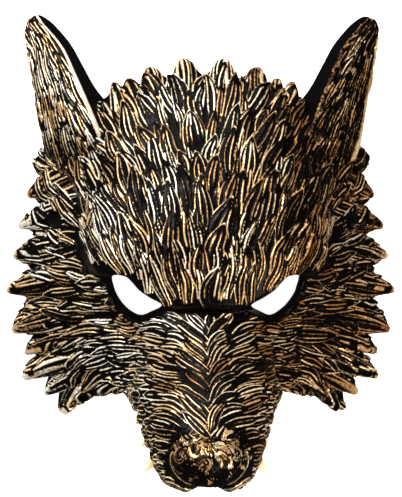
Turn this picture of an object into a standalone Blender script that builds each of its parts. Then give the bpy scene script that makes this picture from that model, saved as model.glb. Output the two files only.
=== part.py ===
"""Wolf half mask, moulded in one piece: a hollow fur-covered face with two eye holes, an open
muzzle with a nose and lips, two ears, a strap hole in each temple, and six teeth under the lips.

The mask lies on the trimmed back edge of its cheeks and looks up.
+X is its left-hand side as seen from above, +Y runs to the ears and +Z to the nose. Metres.
"""

import math

import bmesh
import bpy
import numpy as np
from mathutils import Vector

# Driving sizes of the face
FACE_WIDTH = 0.210
FACE_LENGTH = 0.240
FACE_DEPTH = 0.130
WALL = 0.003
TIP_WALL = 0.0022
LIP_WALL = 0.0045
FUR_RELIEF = 0.0034
FUR_PITCH = 0.005
TUFT_REACH = 0.0115
CROWN_TUFT_REACH = 0.0095
BROW_STEP = 0.007
LOBE_DROP = 0.006

# The bulb of the nose, and its two nostrils
NOSE_WIDTH = 0.042
NOSE_HEIGHT = 0.030
NOSE_DEPTH = 0.040
NOSTRIL_DEPTH = 0.0025

# Eye holes, measured in the frontal plane
EYE_WIDTH = 0.028
EYE_HEIGHT = 0.0225
EYE_SPACING = 0.079

# Ears
EAR_WIDTH = 0.050
EAR_LENGTH = 0.090
EAR_DEPTH = 0.030
EAR_WALL = 0.003
EAR_RELIEF = 0.0015
EAR_TIP_WALL = 0.0012

# Strap holes through the temples
STRAP_HOLE_LENGTH = 0.011
STRAP_HOLE_WIDTH = 0.0095
STRAP_HOLE_TILT = math.radians(78)
STRAP_BOSS_HEIGHT = 0.005
STRAP_BOSS_WIDTH = 0.022

# Teeth
CANINE_LENGTH = 0.016
CANINE_DIAMETER = 0.0062
CHEEK_TOOTH_LENGTH = 0.0105
CHEEK_TOOTH_DIAMETER = 0.0050
TOOTH_SPLAY = math.radians(38)
TOOTH_GAP = 0.0003

COLUMNS = 21
EAR_FRONT_STEPS = 6
EAR_FLANK_STEPS = 3
CUT_MARGIN = 0.020
HOLLOW_END = 6.0

# One row for each cross-section of the face, from the crown to the front lip. A cap, which is
# the forehead above the eyes and the muzzle below them, falls from the centre line to its foot,
# and the cheek runs on from there to the rim. y is a share of FACE_LENGTH, z of FACE_DEPTH and x
# of half of FACE_WIDTH. fullness 2 makes the cap an ellipse and more makes it boxier; bow bends
# the section towards its rim in the frontal view.
SECTION_COLUMNS = (
    "centre_y", "centre_z", "cap_x", "cap_z", "rim_x", "rim_y", "rim_z", "fullness", "bow",
)
SECTIONS = (
    (0.428, 0.31, 0.62, 0.155, 0.893, 0.244, 0.000, 2.1, 2.2),  # crown
    (0.362, 0.42, 0.66, 0.200, 0.911, 0.200, -0.008, 2.1, 2.0),  # hairline
    (0.262, 0.52, 0.68, 0.235, 0.914, 0.137, -0.012, 2.1, 1.7),  # upper forehead
    (0.166, 0.59, 0.68, 0.260, 0.926, 0.075, -0.015, 2.1, 1.5),  # forehead
    (0.071, 0.63, 0.68, 0.275, 0.960, 0.008, -0.015, 2.1, 1.4),  # lower forehead
    (-0.012, 0.64, 0.67, 0.290, 0.994, -0.055, -0.020, 2.1, 1.3),  # brow
    (-0.083, 0.60, 0.61, 0.305, 1.006, -0.120, -0.020, 2.1, 1.2),  # eyes
    (-0.136, 0.57, 0.47, 0.345, 0.994, -0.180, -0.020, 2.0, 1.1),  # nasion
    (-0.172, 0.60, 0.38, 0.370, 0.949, -0.250, -0.015, 2.0, 1.1),  # root of the muzzle
    (-0.207, 0.65, 0.36, 0.375, 0.867, -0.312, 0.000, 2.1, 1.1),  # bridge
    (-0.241, 0.70, 0.37, 0.370, 0.774, -0.356, 0.046, 2.2, 1.1),  # lowest cheek tuft
    (-0.274, 0.74, 0.39, 0.355, 0.633, -0.349, 0.123, 2.3, 1.1),  # edge under the cheek
    (-0.306, 0.78, 0.41, 0.325, 0.505, -0.338, 0.215, 2.4, 1.1),  # edge by the mouth
    (-0.337, 0.81, 0.42, 0.292, 0.423, -0.345, 0.292, 2.5, 1.1),  # corner of the mouth
    (-0.368, 0.85, 0.376, 0.362, 0.376, -0.383, 0.362, 2.5, 1.2),  # rear cheek tooth
    (-0.399, 0.88, 0.341, 0.431, 0.341, -0.429, 0.431, 2.5, 1.2),  # front cheek tooth
    (-0.430, 0.91, 0.307, 0.492, 0.307, -0.473, 0.492, 2.5, 1.2),  # canine
    (-0.460, 0.93, 0.275, 0.538, 0.275, -0.506, 0.538, 2.4, 1.2),  # top of the nose
    (-0.490, 0.92, 0.255, 0.558, 0.255, -0.523, 0.558, 2.3, 1.2),  # middle of the nose
    (-0.521, 0.84, 0.238, 0.569, 0.238, -0.531, 0.569, 2.2, 1.2),  # under the nose
    (-0.546, 0.66, 0.224, 0.577, 0.224, -0.537, 0.577, 2.0, 1.2),  # front lip
)
CAP_END = math.radians(86)
CHEEK_BULGE = 1.3
FILLET = 0.005

# Tufts along the side of the face: where each starts, has its tip and ends, counted in
# sections, and how far its tip reaches outwards and down, as shares of TUFT_REACH.
TUFT_COLUMNS = ("start", "tip", "end", "reach", "drop")
SIDE_TUFTS = (
    (0.00, 0.70, 1.30, 0.60, 0.00),
    (1.30, 1.95, 2.45, 0.65, 0.05),
    (2.45, 3.15, 3.60, 1.00, 0.05),
    (3.60, 4.25, 4.85, 0.90, 0.05),
    (4.85, 5.55, 6.00, 1.00, 0.10),
    (6.00, 7.05, 7.40, 0.95, 0.20),
    (7.40, 7.80, 8.05, 0.55, 0.25),
    (8.05, 8.65, 8.95, 1.10, 0.40),
    (8.95, 9.35, 9.65, 0.45, 0.35),
    (9.65, 10.15, 10.60, 0.45, 0.80),
)

# Tufts along the crown: where each starts, has its tip and ends, as shares of half of FACE_WIDTH,
# and how far it reaches upwards as a share of CROWN_TUFT_REACH.
CROWN_TUFT_COLUMNS = ("start", "tip", "end", "reach")
CROWN_TUFTS = (
    (0.00, 0.12, 0.20, 1.00),
    (0.20, 0.31, 0.36, 0.75),
    (0.36, 0.42, 0.46, 0.45),
    (0.46, 0.50, 0.54, 0.60),
)

# Lower and outer edge of the raised forehead, from the nasion round the brow to the ear,
# as shares of half of FACE_WIDTH and of FACE_LENGTH.
BROW_EDGE = (
    (0.00, -0.135), (0.13, -0.137), (0.24, -0.130), (0.36, -0.098), (0.44, -0.062), (0.53, -0.060),
    (0.60, -0.056), (0.65, -0.030), (0.665, 0.020), (0.66, 0.085), (0.69, 0.150), (0.75, 0.210),
)
BROW_FADE = (0.14, 0.24)
BROW_SOFTNESS = 0.006

# The eye hole's outline, from its inner corner round the upper edge: shares of EYE_WIDTH and
# EYE_HEIGHT from its centre.
EYE_OUTLINE = (
    (-0.50, -0.24), (-0.26, -0.06), (-0.04, 0.13), (0.12, 0.35), (0.26, 0.49), (0.50, 0.50),
    (0.47, 0.22), (0.38, -0.04), (0.20, -0.32), (-0.06, -0.50), (-0.30, -0.40),
)
EYE_Y = -0.104

# One row for each section of the right ear, from its root to its tip. x is a share of
# EAR_WIDTH, y of EAR_LENGTH and z of EAR_DEPTH, from the ear's own corner.
EAR_COLUMNS = ("outer_x", "outer_y", "outer_z", "crest_x", "crest_y", "crest_z", "inner_x", "inner_y", "inner_z")
EAR_SECTIONS = (
    (0.86, 0.02, -0.45, 0.10, 0.00, 0.60, 0.02, 0.26, 0.15),
    (0.91, 0.12, -0.03, 0.24, 0.19, 1.04, 0.12, 0.38, 0.40),
    (0.96, 0.29, 0.05, 0.40, 0.41, 0.92, 0.31, 0.52, 0.26),
    (1.02, 0.50, 0.08, 0.54, 0.59, 0.76, 0.46, 0.67, 0.20),
    (1.08, 0.70, 0.11, 0.68, 0.76, 0.60, 0.60, 0.81, 0.14),
    (1.12, 0.86, 0.12, 0.86, 0.89, 0.42, 0.78, 0.93, 0.10),
    (1.12, 0.94, 0.13, 0.98, 0.96, 0.28, 0.89, 0.98, 0.11),
    (1.08, 0.98, 0.14, 1.02, 0.995, 0.19, 0.96, 1.00, 0.13),
)
EAR_CORNER_X = 0.457
EAR_CORNER_Y = 0.208
EAR_CORNER_Z = 0.115
EAR_ROWS = 13
EAR_BULGE = 0.12

# Strap hole: section number and share of the way from the centre line to the rim.
STRAP_AT = (3.3, 0.80)

# Teeth: name, section of the lip it hangs from, whether it is a canine.
TEETH = (("cheek_tooth_rear", 14.2, False), ("cheek_tooth_front", 15.3, False), ("canine", 16.4, True))


def clear_scene():
    for obj in list(bpy.data.objects):
        bpy.data.objects.remove(obj)


def new_collection(name):
    collection = bpy.data.collections.new(name)
    bpy.context.scene.collection.children.link(collection)
    return collection


def new_material(name, colour, roughness, metallic):
    material = bpy.data.materials.new(name)
    material.use_nodes = True
    shader = material.node_tree.nodes["Principled BSDF"]
    shader.inputs["Base Color"].default_value = (*colour, 1.0)
    shader.inputs["Roughness"].default_value = roughness
    shader.inputs["Metallic"].default_value = metallic
    material.diffuse_color = (*colour, 1.0)
    return material


def smooth(x):
    """Eases from 0 to 1 as x runs from 0 to 1."""
    x = np.clip(x, 0.0, 1.0)
    return x * x * (3 - 2 * x)


def named_rows(columns, rows):
    return [dict(zip(columns, row)) for row in rows]


def through_rows(rows, at):
    """Catmull-Rom interpolation of a table's rows at positions counted in rows."""
    rows = np.asarray(rows, float)
    at = np.clip(np.asarray(at, float), 0, len(rows) - 1)
    first = np.minimum(at.astype(int), len(rows) - 2)
    t = (at - first)[:, None]
    before = rows[np.maximum(first - 1, 0)]
    start = rows[first]
    end = rows[first + 1]
    after = rows[np.minimum(first + 2, len(rows) - 1)]
    return 0.5 * (
        2 * start
        + (end - before) * t
        + (2 * before - 5 * start + 4 * end - after) * t**2
        + (3 * start - before - 3 * end + after) * t**3
    )


def tuft_profile(at, start, tip, end):
    """0 outside a tuft and 1 at its tip, with a full upper and a hollow lower side."""
    rising = np.clip((at - start) / (tip - start), 0, 1)
    falling = np.clip((end - at) / (end - tip), 0, 1)
    return np.where(at <= tip, np.sin(rising * math.pi / 2) ** 1.3, falling**1.4)


def edge_distance(x, y, edge):
    """Distance to a polyline in the frontal plane, positive above and inside it."""
    edge = np.asarray(edge) * (FACE_WIDTH / 2, FACE_LENGTH)
    closed = np.vstack([edge, (edge[-1, 0], FACE_LENGTH), (-FACE_WIDTH, FACE_LENGTH), (-FACE_WIDTH, edge[0, 1])])
    nearest = np.full(x.shape, 1.0)
    inside = np.zeros(x.shape, bool)
    for index, start in enumerate(closed):
        end = closed[(index + 1) % len(closed)]
        way = end - start
        share = np.clip(((x - start[0]) * way[0] + (y - start[1]) * way[1]) / (way @ way), 0, 1)
        if index < len(edge) - 1:
            gap = np.hypot(x - start[0] - share * way[0], y - start[1] - share * way[1])
            nearest = np.minimum(nearest, gap)
        crosses = (start[1] > y) != (end[1] > y)
        with np.errstate(divide="ignore", invalid="ignore"):
            crossing = start[0] + (y - start[1]) * way[0] / way[1]
        inside ^= crosses & (x < crossing)
    return np.where(inside, nearest, -nearest)


def evenly(curves, count):
    """Resamples each curve to count points at even steps along it."""
    length = np.linalg.norm(np.diff(curves, axis=1), axis=2)
    along = np.concatenate([np.zeros((len(curves), 1)), np.cumsum(length, axis=1)], axis=1)
    along /= along[:, -1:]
    shares = np.linspace(0, 1, count)
    rows = [[np.interp(shares, a, curve[:, k]) for k in range(3)] for a, curve in zip(along, curves)]
    return np.array(rows).transpose(0, 2, 1)


def face_curves(at, count):
    """Each section as count points spaced evenly along it, from the centre line to the rim."""
    table = {n: c[:, None] for n, c in zip(SECTION_COLUMNS, through_rows(SECTIONS, at).T)}
    turn = CAP_END * np.linspace(0, 1, 121)
    power = 2 / table["fullness"]
    lowest = math.cos(CAP_END) ** power
    cap_x = table["cap_x"] * (np.sin(turn) / math.sin(CAP_END)) ** power
    cap_z = (np.cos(turn) ** power - lowest) / (1 - lowest)
    cap_z = table["cap_z"] + (table["centre_z"] - table["cap_z"]) * cap_z
    step = np.linspace(0, 1, 41)[1:]
    cheek_x = table["cap_x"] + (table["rim_x"] - table["cap_x"]) * step
    cheek_z = table["cap_z"] + (table["rim_z"] - table["cap_z"]) * step**CHEEK_BULGE
    x = np.concatenate([cap_x, cheek_x], axis=1) * FACE_WIDTH / 2
    z = np.concatenate([cap_z, cheek_z], axis=1) * FACE_DEPTH
    dense = evenly(np.stack([x, np.zeros_like(x), z], axis=-1), 161)
    spacing = np.linalg.norm(dense[:, 1] - dense[:, 0], axis=1).mean()
    for _ in range(int(2 * (FILLET / spacing) ** 2)):
        inner = (dense[:, :-2] + 2 * dense[:, 1:-1] + dense[:, 2:]) / 4
        dense[:, 0, 2] = (dense[:, 0, 2] + dense[:, 1, 2]) / 2
        dense[:, 1:-1] = inner
    fall = np.linspace(0, 1, dense.shape[1]) ** table["bow"]
    dense[..., 1] = (table["centre_y"] + (table["rim_y"] - table["centre_y"]) * fall) * FACE_LENGTH
    return evenly(dense, count)


def grid_normals(grid):
    """Unit normals of a grid of points, facing the front."""
    down = np.gradient(grid, axis=0)
    out = np.gradient(grid, axis=1)
    normal = np.cross(down, out)
    normal /= np.linalg.norm(normal, axis=2, keepdims=True)
    return normal


def even_normals(grid):
    """Normals of the right half of the face, eased so that a wall built along them never folds."""
    normals = grid_normals(grid)
    for _ in range(4):
        inner = normals.copy()
        inner[1:-1] = (normals[:-2] + 2 * normals[1:-1] + normals[2:]) / 4
        inner[:, 1:-1] = (inner[:, :-2] + 2 * inner[:, 1:-1] + inner[:, 2:]) / 4
        normals = inner
    normals[:, 0, 0] = 0
    return normals / np.linalg.norm(normals, axis=2, keepdims=True)


def add_features(grid, at, share, fine):
    """Adds the raised forehead, the lobes of the lips, the tufts on the edges and, when fine
    is true, the nose. at counts sections down the grid and share runs across it."""
    grid = grid.copy()
    x, y = grid[..., 0], grid[..., 1]
    raised = smooth(edge_distance(x, y, BROW_EDGE) / BROW_SOFTNESS + 0.5)
    fade = 1 - smooth((y / FACE_LENGTH - BROW_FADE[0]) / (BROW_FADE[1] - BROW_FADE[0]))
    grid[..., 2] += BROW_STEP * raised * fade
    lobe = np.exp(-(((x / (FACE_WIDTH / 2)) - 0.125) / 0.075) ** 2) * smooth((at[:, None] - 17.6) / 2.4)
    grid[..., 1] -= LOBE_DROP * lobe
    flare = smooth((share - 0.72) / 0.28)[None, :]
    for tuft in named_rows(TUFT_COLUMNS, SIDE_TUFTS):
        pull = tuft_profile(at, tuft["start"], tuft["tip"], tuft["end"])[:, None] * flare
        grid[..., 0] += TUFT_REACH * tuft["reach"] * pull
        grid[..., 1] -= TUFT_REACH * tuft["drop"] * pull
    top = (1 - smooth(at / 1.3))[:, None]
    half_width = FACE_WIDTH / 2
    for tuft in named_rows(CROWN_TUFT_COLUMNS, CROWN_TUFTS):
        pull = tuft_profile(x / half_width, tuft["start"], tuft["tip"], tuft["end"]) * top
        grid[..., 1] += CROWN_TUFT_REACH * tuft["reach"] * pull
    if fine:
        grid = push_out_nose(grid)
    return grid


def push_out_nose(grid):
    """Moves the points inside the nose's ellipsoid out to its surface and dents the nostrils."""
    tip = through_rows(SECTIONS, [17.8])[0]
    centre = np.array([0, tip[0] * FACE_LENGTH, tip[1] * FACE_DEPTH - 0.33 * NOSE_DEPTH])
    radii = np.array([NOSE_WIDTH, NOSE_HEIGHT, NOSE_DEPTH]) / 2
    offset = (grid - centre) / radii
    size = np.linalg.norm(offset, axis=2, keepdims=True)
    inside = (size < 1) & (offset[..., 2:] > -0.2)
    grid = np.where(inside, centre + offset / np.maximum(size, 0.2) * radii, grid)
    nostril = centre + radii * (0.52, -0.62, 0.55)
    away = np.linalg.norm((grid - nostril) / (0.16 * NOSE_WIDTH), axis=2)
    grid[..., 2] -= NOSTRIL_DEPTH * np.exp(-(away**2))
    return grid


def section_samples():
    """Section numbers of the grid's rows: three to a tuft, and even steps on the muzzle."""
    rows = []
    for tuft in named_rows(TUFT_COLUMNS, SIDE_TUFTS):
        rows += [tuft["start"], (tuft["start"] + 2 * tuft["tip"]) / 3, tuft["tip"]]
    rows += [tuft["end"]]
    rows += [11.2, 11.8, 12.4]
    rows += list(np.linspace(13, len(SECTIONS) - 1, 15))
    return np.array(rows)


def fur_relief(grid, at, share):
    """Height of the moulded locks: on the forehead they run up along the columns, on the cheeks
    and the muzzle outwards along the rows, and each row of locks laps over the next one."""
    rows = np.arange(len(at))
    columns = np.arange(len(share))
    row_ridge = np.choose(rows % 3, (1.0, 0.0, 0.8))
    row_ridge[at > 11] = rows[at > 11] % 2
    column_ridge = (columns % 2).astype(float)
    pitch = np.linalg.norm(np.gradient(grid, axis=0), axis=2)
    outward = (5 * share[None, :] + 0.5 * (rows[:, None] // 3 % 2)) % 1.0
    upward = (1 - (at[:, None] * 0.8 + 0.5 * (columns[None, :] // 2 % 2))) % 1.0
    cheek = row_ridge[:, None] * (0.35 + 0.65 * outward)
    forehead = column_ridge[None, :] * (0.35 + 0.65 * upward)
    inside = smooth(edge_distance(grid[..., 0], grid[..., 1], BROW_EDGE) / BROW_SOFTNESS + 0.5)
    inside *= 1 - smooth((at[:, None] - 7) / 1.0)
    cheek = cheek * smooth(pitch / FUR_PITCH)
    relief = inside * forehead + (1 - inside) * cheek
    centre = np.array([EYE_SPACING / 2, EYE_Y * FACE_LENGTH])
    gap = np.hypot(
        (grid[..., 0] - centre[0]) / (0.75 * EYE_WIDTH), (grid[..., 1] - centre[1]) / (0.85 * EYE_HEIGHT)
    )
    relief *= smooth((gap - 0.7) / 0.5)
    relief *= 1 - 0.6 * smooth((at[:, None] - 16) / 1.5)
    mouth_corner = np.exp(-(((at - 12.6) / 1.0) ** 2))[:, None] * smooth((share - 0.45) / 0.25)[None, :]
    relief *= 1 - 0.9 * mouth_corner
    relief[:, -1] *= 0.3
    relief[-1] *= 0.3
    return FUR_RELIEF * relief


def wall_thickness(at, share):
    """WALL all over, thin at the tips of the tufts and thick at the lips and the strap holes."""
    edge = smooth((share - 0.8) / 0.2)[None, :]
    lips = smooth((at - 13.2) / 1.3)[:, None]
    thin = WALL + (TIP_WALL - WALL) * edge * (1 - lips)
    low = np.maximum(edge, smooth((at[:, None] - 18.4) / 1.6))
    return thin + (LIP_WALL - WALL) * lips * low


def strap_boss(grid):
    """Extra thickness of the wall round the strap hole, on the inner side."""
    centre, _normal = surface_point(*STRAP_AT)
    away = np.linalg.norm(grid - np.array(centre), axis=2)
    return STRAP_BOSS_HEIGHT * (1 - smooth((away / (STRAP_BOSS_WIDTH / 2) - 0.5) / 0.8))


def sheet_mesh(name, front, back, open_side):
    """A closed sheet from two grids of points; with open_side its first column stays open, for a
    Mirror modifier."""
    rows, columns = front.shape[:2]
    bm = bmesh.new()
    layers = [[[bm.verts.new(p) for p in row] for row in grid] for grid in (front, back)]
    top, under = layers
    for i in range(rows - 1):
        for j in range(columns - 1):
            bm.faces.new((top[i][j], top[i + 1][j], top[i + 1][j + 1], top[i][j + 1]))
            bm.faces.new((under[i][j], under[i][j + 1], under[i + 1][j + 1], under[i + 1][j]))
    for j in range(columns - 1):
        bm.faces.new((top[0][j], top[0][j + 1], under[0][j + 1], under[0][j]))
        bm.faces.new((top[-1][j + 1], top[-1][j], under[-1][j], under[-1][j + 1]))
    for i in range(rows - 1):
        bm.faces.new((top[i][-1], top[i + 1][-1], under[i + 1][-1], under[i][-1]))
        if not open_side:
            bm.faces.new((top[i + 1][0], top[i][0], under[i][0], under[i + 1][0]))
    bmesh.ops.triangulate(bm, faces=bm.faces[:])
    mesh = bpy.data.meshes.new(name)
    bm.to_mesh(mesh)
    bm.free()
    return mesh


def add_object(name, data, collection, material=None):
    obj = bpy.data.objects.new(name, data)
    collection.objects.link(obj)
    if material is not None:
        data.materials.append(material)
    return obj


def make_cutter(obj):
    obj.hide_render = True
    obj.display_type = "WIRE"
    return obj


def add_boolean(obj, operation, other):
    modifier = obj.modifiers.new(other.name, "BOOLEAN")
    modifier.operation = operation
    modifier.object = other
    return modifier


def face_half(collection, material):
    """The right half of the face as a closed sheet, with a Mirror for the other half."""
    at = section_samples()
    share = np.linspace(0, 1, COLUMNS)
    curves = face_curves(at, COLUMNS)
    plain = add_features(curves, at, share, fine=False)
    front = add_features(curves, at, share, fine=True)
    normals = even_normals(curves)
    front = front + normals * fur_relief(plain, at, share)[..., None]
    back = plain - normals * (wall_thickness(at, share) + strap_boss(plain))[..., None]
    front[:, 0, 0] = 0
    back[:, 0, 0] = 0
    obj = add_object("mask_shell", sheet_mesh("mask_shell", front, back, open_side=True), collection, material)
    mirror = obj.modifiers.new("halves", "MIRROR")
    mirror.merge_threshold = 0.00005
    return obj


def upper_hollow(collection):
    """The space under the forehead and the temples, up to the middle of the wall; it trims the
    roots of the ears, so that they end inside the wall."""
    at = np.linspace(0, HOLLOW_END, 31)
    share = np.linspace(0, 1, COLUMNS)
    curves = face_curves(at, COLUMNS)
    grid = add_features(curves, at, share, fine=False) - even_normals(curves) * WALL / 2
    grid[:, 0, 0] = 0
    floor = grid * (1, 1, 0) - (0, 0, FACE_DEPTH / 2)
    obj = add_object("hollow", sheet_mesh("hollow", grid, floor, open_side=True), collection)
    mirror = obj.modifiers.new("halves", "MIRROR")
    mirror.merge_threshold = 0.00005
    return make_cutter(obj)


def ear_curves(rows, front_steps, flank_steps):
    """The ear's outer surface: from its outer edge over the crest to its inner edge."""
    table = through_rows(EAR_SECTIONS, np.linspace(0, len(EAR_SECTIONS) - 1, rows))
    corner = np.array([EAR_CORNER_X * FACE_WIDTH / 2, EAR_CORNER_Y * FACE_LENGTH, EAR_CORNER_Z * FACE_DEPTH])
    size = np.array([EAR_WIDTH, EAR_LENGTH, EAR_DEPTH])
    firsts = [EAR_COLUMNS.index(edge + "_x") for edge in ("outer", "crest", "inner")]
    outer, crest, inner = (corner + table[:, k : k + 3] * size for k in firsts)
    front = np.linspace(0, 1, front_steps + 1)[None, :, None]
    flank = np.linspace(0, 1, flank_steps + 1)[None, 1:, None]
    face = outer[:, None] * (1 - front) + crest[:, None] * front
    width = np.linalg.norm(crest - outer, axis=1)[:, None]
    face[..., 2] += EAR_BULGE * width * np.sin(math.pi * front[..., 0])
    side = crest[:, None] * (1 - flank) + inner[:, None] * flank
    grid = np.concatenate([face, side], axis=1)
    return grid[:, ::-1]


def ear(name, side, hollow, collection):
    """One ear as a closed sheet, open at its back; side is 1 for the right and -1 for the left."""
    front = ear_curves(EAR_ROWS, EAR_FRONT_STEPS, EAR_FLANK_STEPS)[::-1]
    normals = grid_normals(front)
    to_root = np.linspace(0, 1, EAR_ROWS)
    wall = EAR_TIP_WALL + (EAR_WALL - EAR_TIP_WALL) * smooth(to_root / 0.35)
    back = front - normals * wall[:, None, None]
    columns = np.arange(front.shape[1])
    ridge = np.where(columns % 2 == 1, 1.0, 0.0) * (columns > EAR_FLANK_STEPS)
    relief = EAR_RELIEF * smooth(to_root / 0.2)[:, None] * ridge[None, :]
    front = front + normals * relief[..., None]
    if side < 0:
        front = (front * (-1, 1, 1))[:, ::-1]
        back = (back * (-1, 1, 1))[:, ::-1]
    obj = add_object(name, sheet_mesh(name, front, back, open_side=False), collection)
    add_boolean(obj, "DIFFERENCE", hollow)
    return make_cutter(obj)


def eye_cutter(name, side, collection):
    """A prism along Z with the outline of an eye hole."""
    curve = bpy.data.curves.new(name, "CURVE")
    curve.dimensions = "2D"
    curve.fill_mode = "BOTH"
    curve.extrude = FACE_DEPTH
    curve.resolution_u = 3
    spline = curve.splines.new("BEZIER")
    spline.bezier_points.add(len(EYE_OUTLINE) - 1)
    for point, (x, y) in zip(spline.bezier_points, EYE_OUTLINE):
        point.co = (
            side * (EYE_SPACING / 2 + x * EYE_WIDTH), EYE_Y * FACE_LENGTH + y * EYE_HEIGHT, FACE_DEPTH / 2,
        )
        point.handle_left_type = point.handle_right_type = "AUTO"
    spline.use_cyclic_u = True
    return as_cutter_mesh(add_object(name, curve, collection))


def as_cutter_mesh(curve_object):
    """Turns a curve object into a closed mesh cutter."""
    bpy.context.view_layer.update()
    graph = bpy.context.evaluated_depsgraph_get()
    mesh = bpy.data.meshes.new_from_object(curve_object.evaluated_get(graph))
    bm = bmesh.new()
    bm.from_mesh(mesh)
    bmesh.ops.remove_doubles(bm, verts=bm.verts[:], dist=0.00001)
    bmesh.ops.recalc_face_normals(bm, faces=bm.faces[:])
    bm.to_mesh(mesh)
    bm.free()
    name = curve_object.name
    made = bpy.data.objects.new(name + "_mesh", mesh)
    curve_object.users_collection[0].objects.link(made)
    made.matrix_world = curve_object.matrix_world
    bpy.data.objects.remove(curve_object)
    return make_cutter(made)


def surface_point(at, share):
    """Point and normal of the bare face at a section and a share of the way to the rim."""
    rows = np.array([at - 0.1, at, at + 0.1])
    grid = face_curves(rows, 201)
    j = int(round(share * 200))
    normal = grid_normals(grid)[1, j]
    return Vector(grid[1, j]), Vector(normal)


def strap_cutter(name, side, collection):
    """A slot with round ends through the temple and its boss; it leaves sideways, so that it is
    dark when seen from the front."""
    bm = bmesh.new()
    radius = STRAP_HOLE_WIDTH / 2
    straight = (STRAP_HOLE_LENGTH - STRAP_HOLE_WIDTH) / 2
    steps = 7
    outline = []
    for end in (1, -1):
        for k in range(steps):
            angle = math.pi * k / (steps - 1)
            outline.append((end * radius * math.cos(angle), end * (straight + radius * math.sin(angle))))
    low = [bm.verts.new((x, y, -CUT_MARGIN)) for x, y in outline]
    bm.faces.new(low)
    made = bmesh.ops.extrude_face_region(bm, geom=bm.faces[:])
    raised = [v for v in made["geom"] if isinstance(v, bmesh.types.BMVert)]
    bmesh.ops.translate(bm, verts=raised, vec=(0, 0, 2 * CUT_MARGIN))
    bmesh.ops.recalc_face_normals(bm, faces=bm.faces[:])
    mesh = bpy.data.meshes.new(name)
    bm.to_mesh(mesh)
    bm.free()
    obj = add_object(name, mesh, collection)
    point, _normal = surface_point(*STRAP_AT)
    obj.location = (side * point.x, point.y, point.z)
    obj.rotation_euler = (0, side * STRAP_HOLE_TILT, 0)
    return make_cutter(obj)


def trim_box(collection):
    """Everything below the plane that the mask rests on."""
    bm = bmesh.new()
    bmesh.ops.create_cube(bm, size=1.0)
    side = 3 * max(FACE_WIDTH, FACE_LENGTH)
    bmesh.ops.scale(bm, vec=(side, side, FACE_DEPTH), verts=bm.verts[:])
    bmesh.ops.translate(bm, vec=(0, 0, -FACE_DEPTH / 2), verts=bm.verts[:])
    mesh = bpy.data.meshes.new("trim")
    bm.to_mesh(mesh)
    bm.free()
    return make_cutter(add_object("trim", mesh, collection))


def tooth(name, side, at, is_canine, collection, material):
    """A curved cone whose root meets the edge of the lip."""
    length = CANINE_LENGTH if is_canine else CHEEK_TOOTH_LENGTH
    diameter = CANINE_DIAMETER if is_canine else CHEEK_TOOTH_DIAMETER
    rows = np.array([at - 0.1, at, at + 0.1])
    share = np.linspace(0, 1, 201)
    grid = face_curves(rows, len(share))
    edge = grid[1, -1]
    normal = grid_normals(grid)[1, -1]
    down = np.cross(normal, grid[2, -1] - grid[0, -1])
    down *= math.copysign(1, down @ (grid[1, -1] - grid[1, -12]))
    down /= np.linalg.norm(down)
    middle = edge - normal * wall_thickness(rows, share)[1, -1] / 2
    aim = down * math.cos(TOOTH_SPLAY) + normal * math.sin(TOOTH_SPLAY)
    start = middle + down * (TOOTH_GAP + diameter / 2 * math.sin(TOOTH_SPLAY))
    curve = bpy.data.curves.new(name, "CURVE")
    curve.dimensions = "3D"
    curve.bevel_depth = diameter / 2
    curve.bevel_resolution = 2
    curve.use_fill_caps = True
    curve.materials.append(material)
    steps = 6
    spline = curve.splines.new("POLY")
    spline.points.add(steps - 1)
    for k, point in enumerate(spline.points):
        share_along = k / (steps - 1)
        bend = 0.12 * length * share_along**2
        place = start + aim * length * share_along - normal * bend
        point.co = (side * place[0], place[1], place[2], 1)
        point.radius = max(0.12, math.cos(share_along * math.pi / 2) ** 0.8)
    return add_object(name, curve, collection)


def baked(obj):
    """Applies an object's modifiers and leaves one plain mesh."""
    bpy.context.view_layer.update()
    graph = bpy.context.evaluated_depsgraph_get()
    mesh = bpy.data.meshes.new_from_object(obj.evaluated_get(graph))
    obj.modifiers.clear()
    obj.data = mesh
    return obj


def centre_on_floor(parts, shell):
    """Moves everything so that the shell's box is centred on the origin and stands on z = 0."""
    corners = np.array([v.co for v in shell.data.vertices])
    low, high = corners.min(axis=0), corners.max(axis=0)
    shift = Vector((-(low[0] + high[0]) / 2, -(low[1] + high[1]) / 2, -low[2]))
    root = bpy.data.objects.new("mask_origin", None)
    bpy.context.scene.collection.objects.link(root)
    root.location = shift
    for part in parts:
        part.parent = root


def main():
    clear_scene()
    mask = new_collection("wolf_mask")
    cutters = new_collection("cutters")
    lacquer = new_material("brushed_gold_on_black", (0.30, 0.21, 0.10), 0.35, 0.6)
    ivory = new_material("ivory", (0.80, 0.68, 0.42), 0.4, 0.0)
    shell = face_half(mask, lacquer)
    sides = (("right", 1), ("left", -1))
    hollow = upper_hollow(cutters)
    for word, side in sides:
        add_boolean(shell, "UNION", ear("ear_" + word, side, hollow, cutters))
    for word, side in sides:
        add_boolean(shell, "DIFFERENCE", eye_cutter("eye_" + word, side, cutters))
        add_boolean(shell, "DIFFERENCE", strap_cutter("strap_" + word, side, cutters))
    add_boolean(shell, "DIFFERENCE", trim_box(cutters))
    parts = [baked(shell)]
    for name, at, is_canine in TEETH:
        for word, side in sides:
            parts.append(tooth(f"{name}_{word}", side, at, is_canine, mask, ivory))
    centre_on_floor(parts, shell)


main()
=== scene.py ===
"""Looks of the wolf half mask: the moulded fur in black lacquer with its ridges brushed in gold,
the smooth flanks of the ears, the bands round the eyes, the nose, the teeth and the dark inner side.

The mask lies on its back edge and looks up. +X is the right-hand side of the picture and +Y runs
to the ears. Sections are counted from the crown, 0, to the front lip, 20. Metres.
"""

import math

import bpy
import numpy as np
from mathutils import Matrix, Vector
from mathutils.kdtree import KDTree


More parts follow.
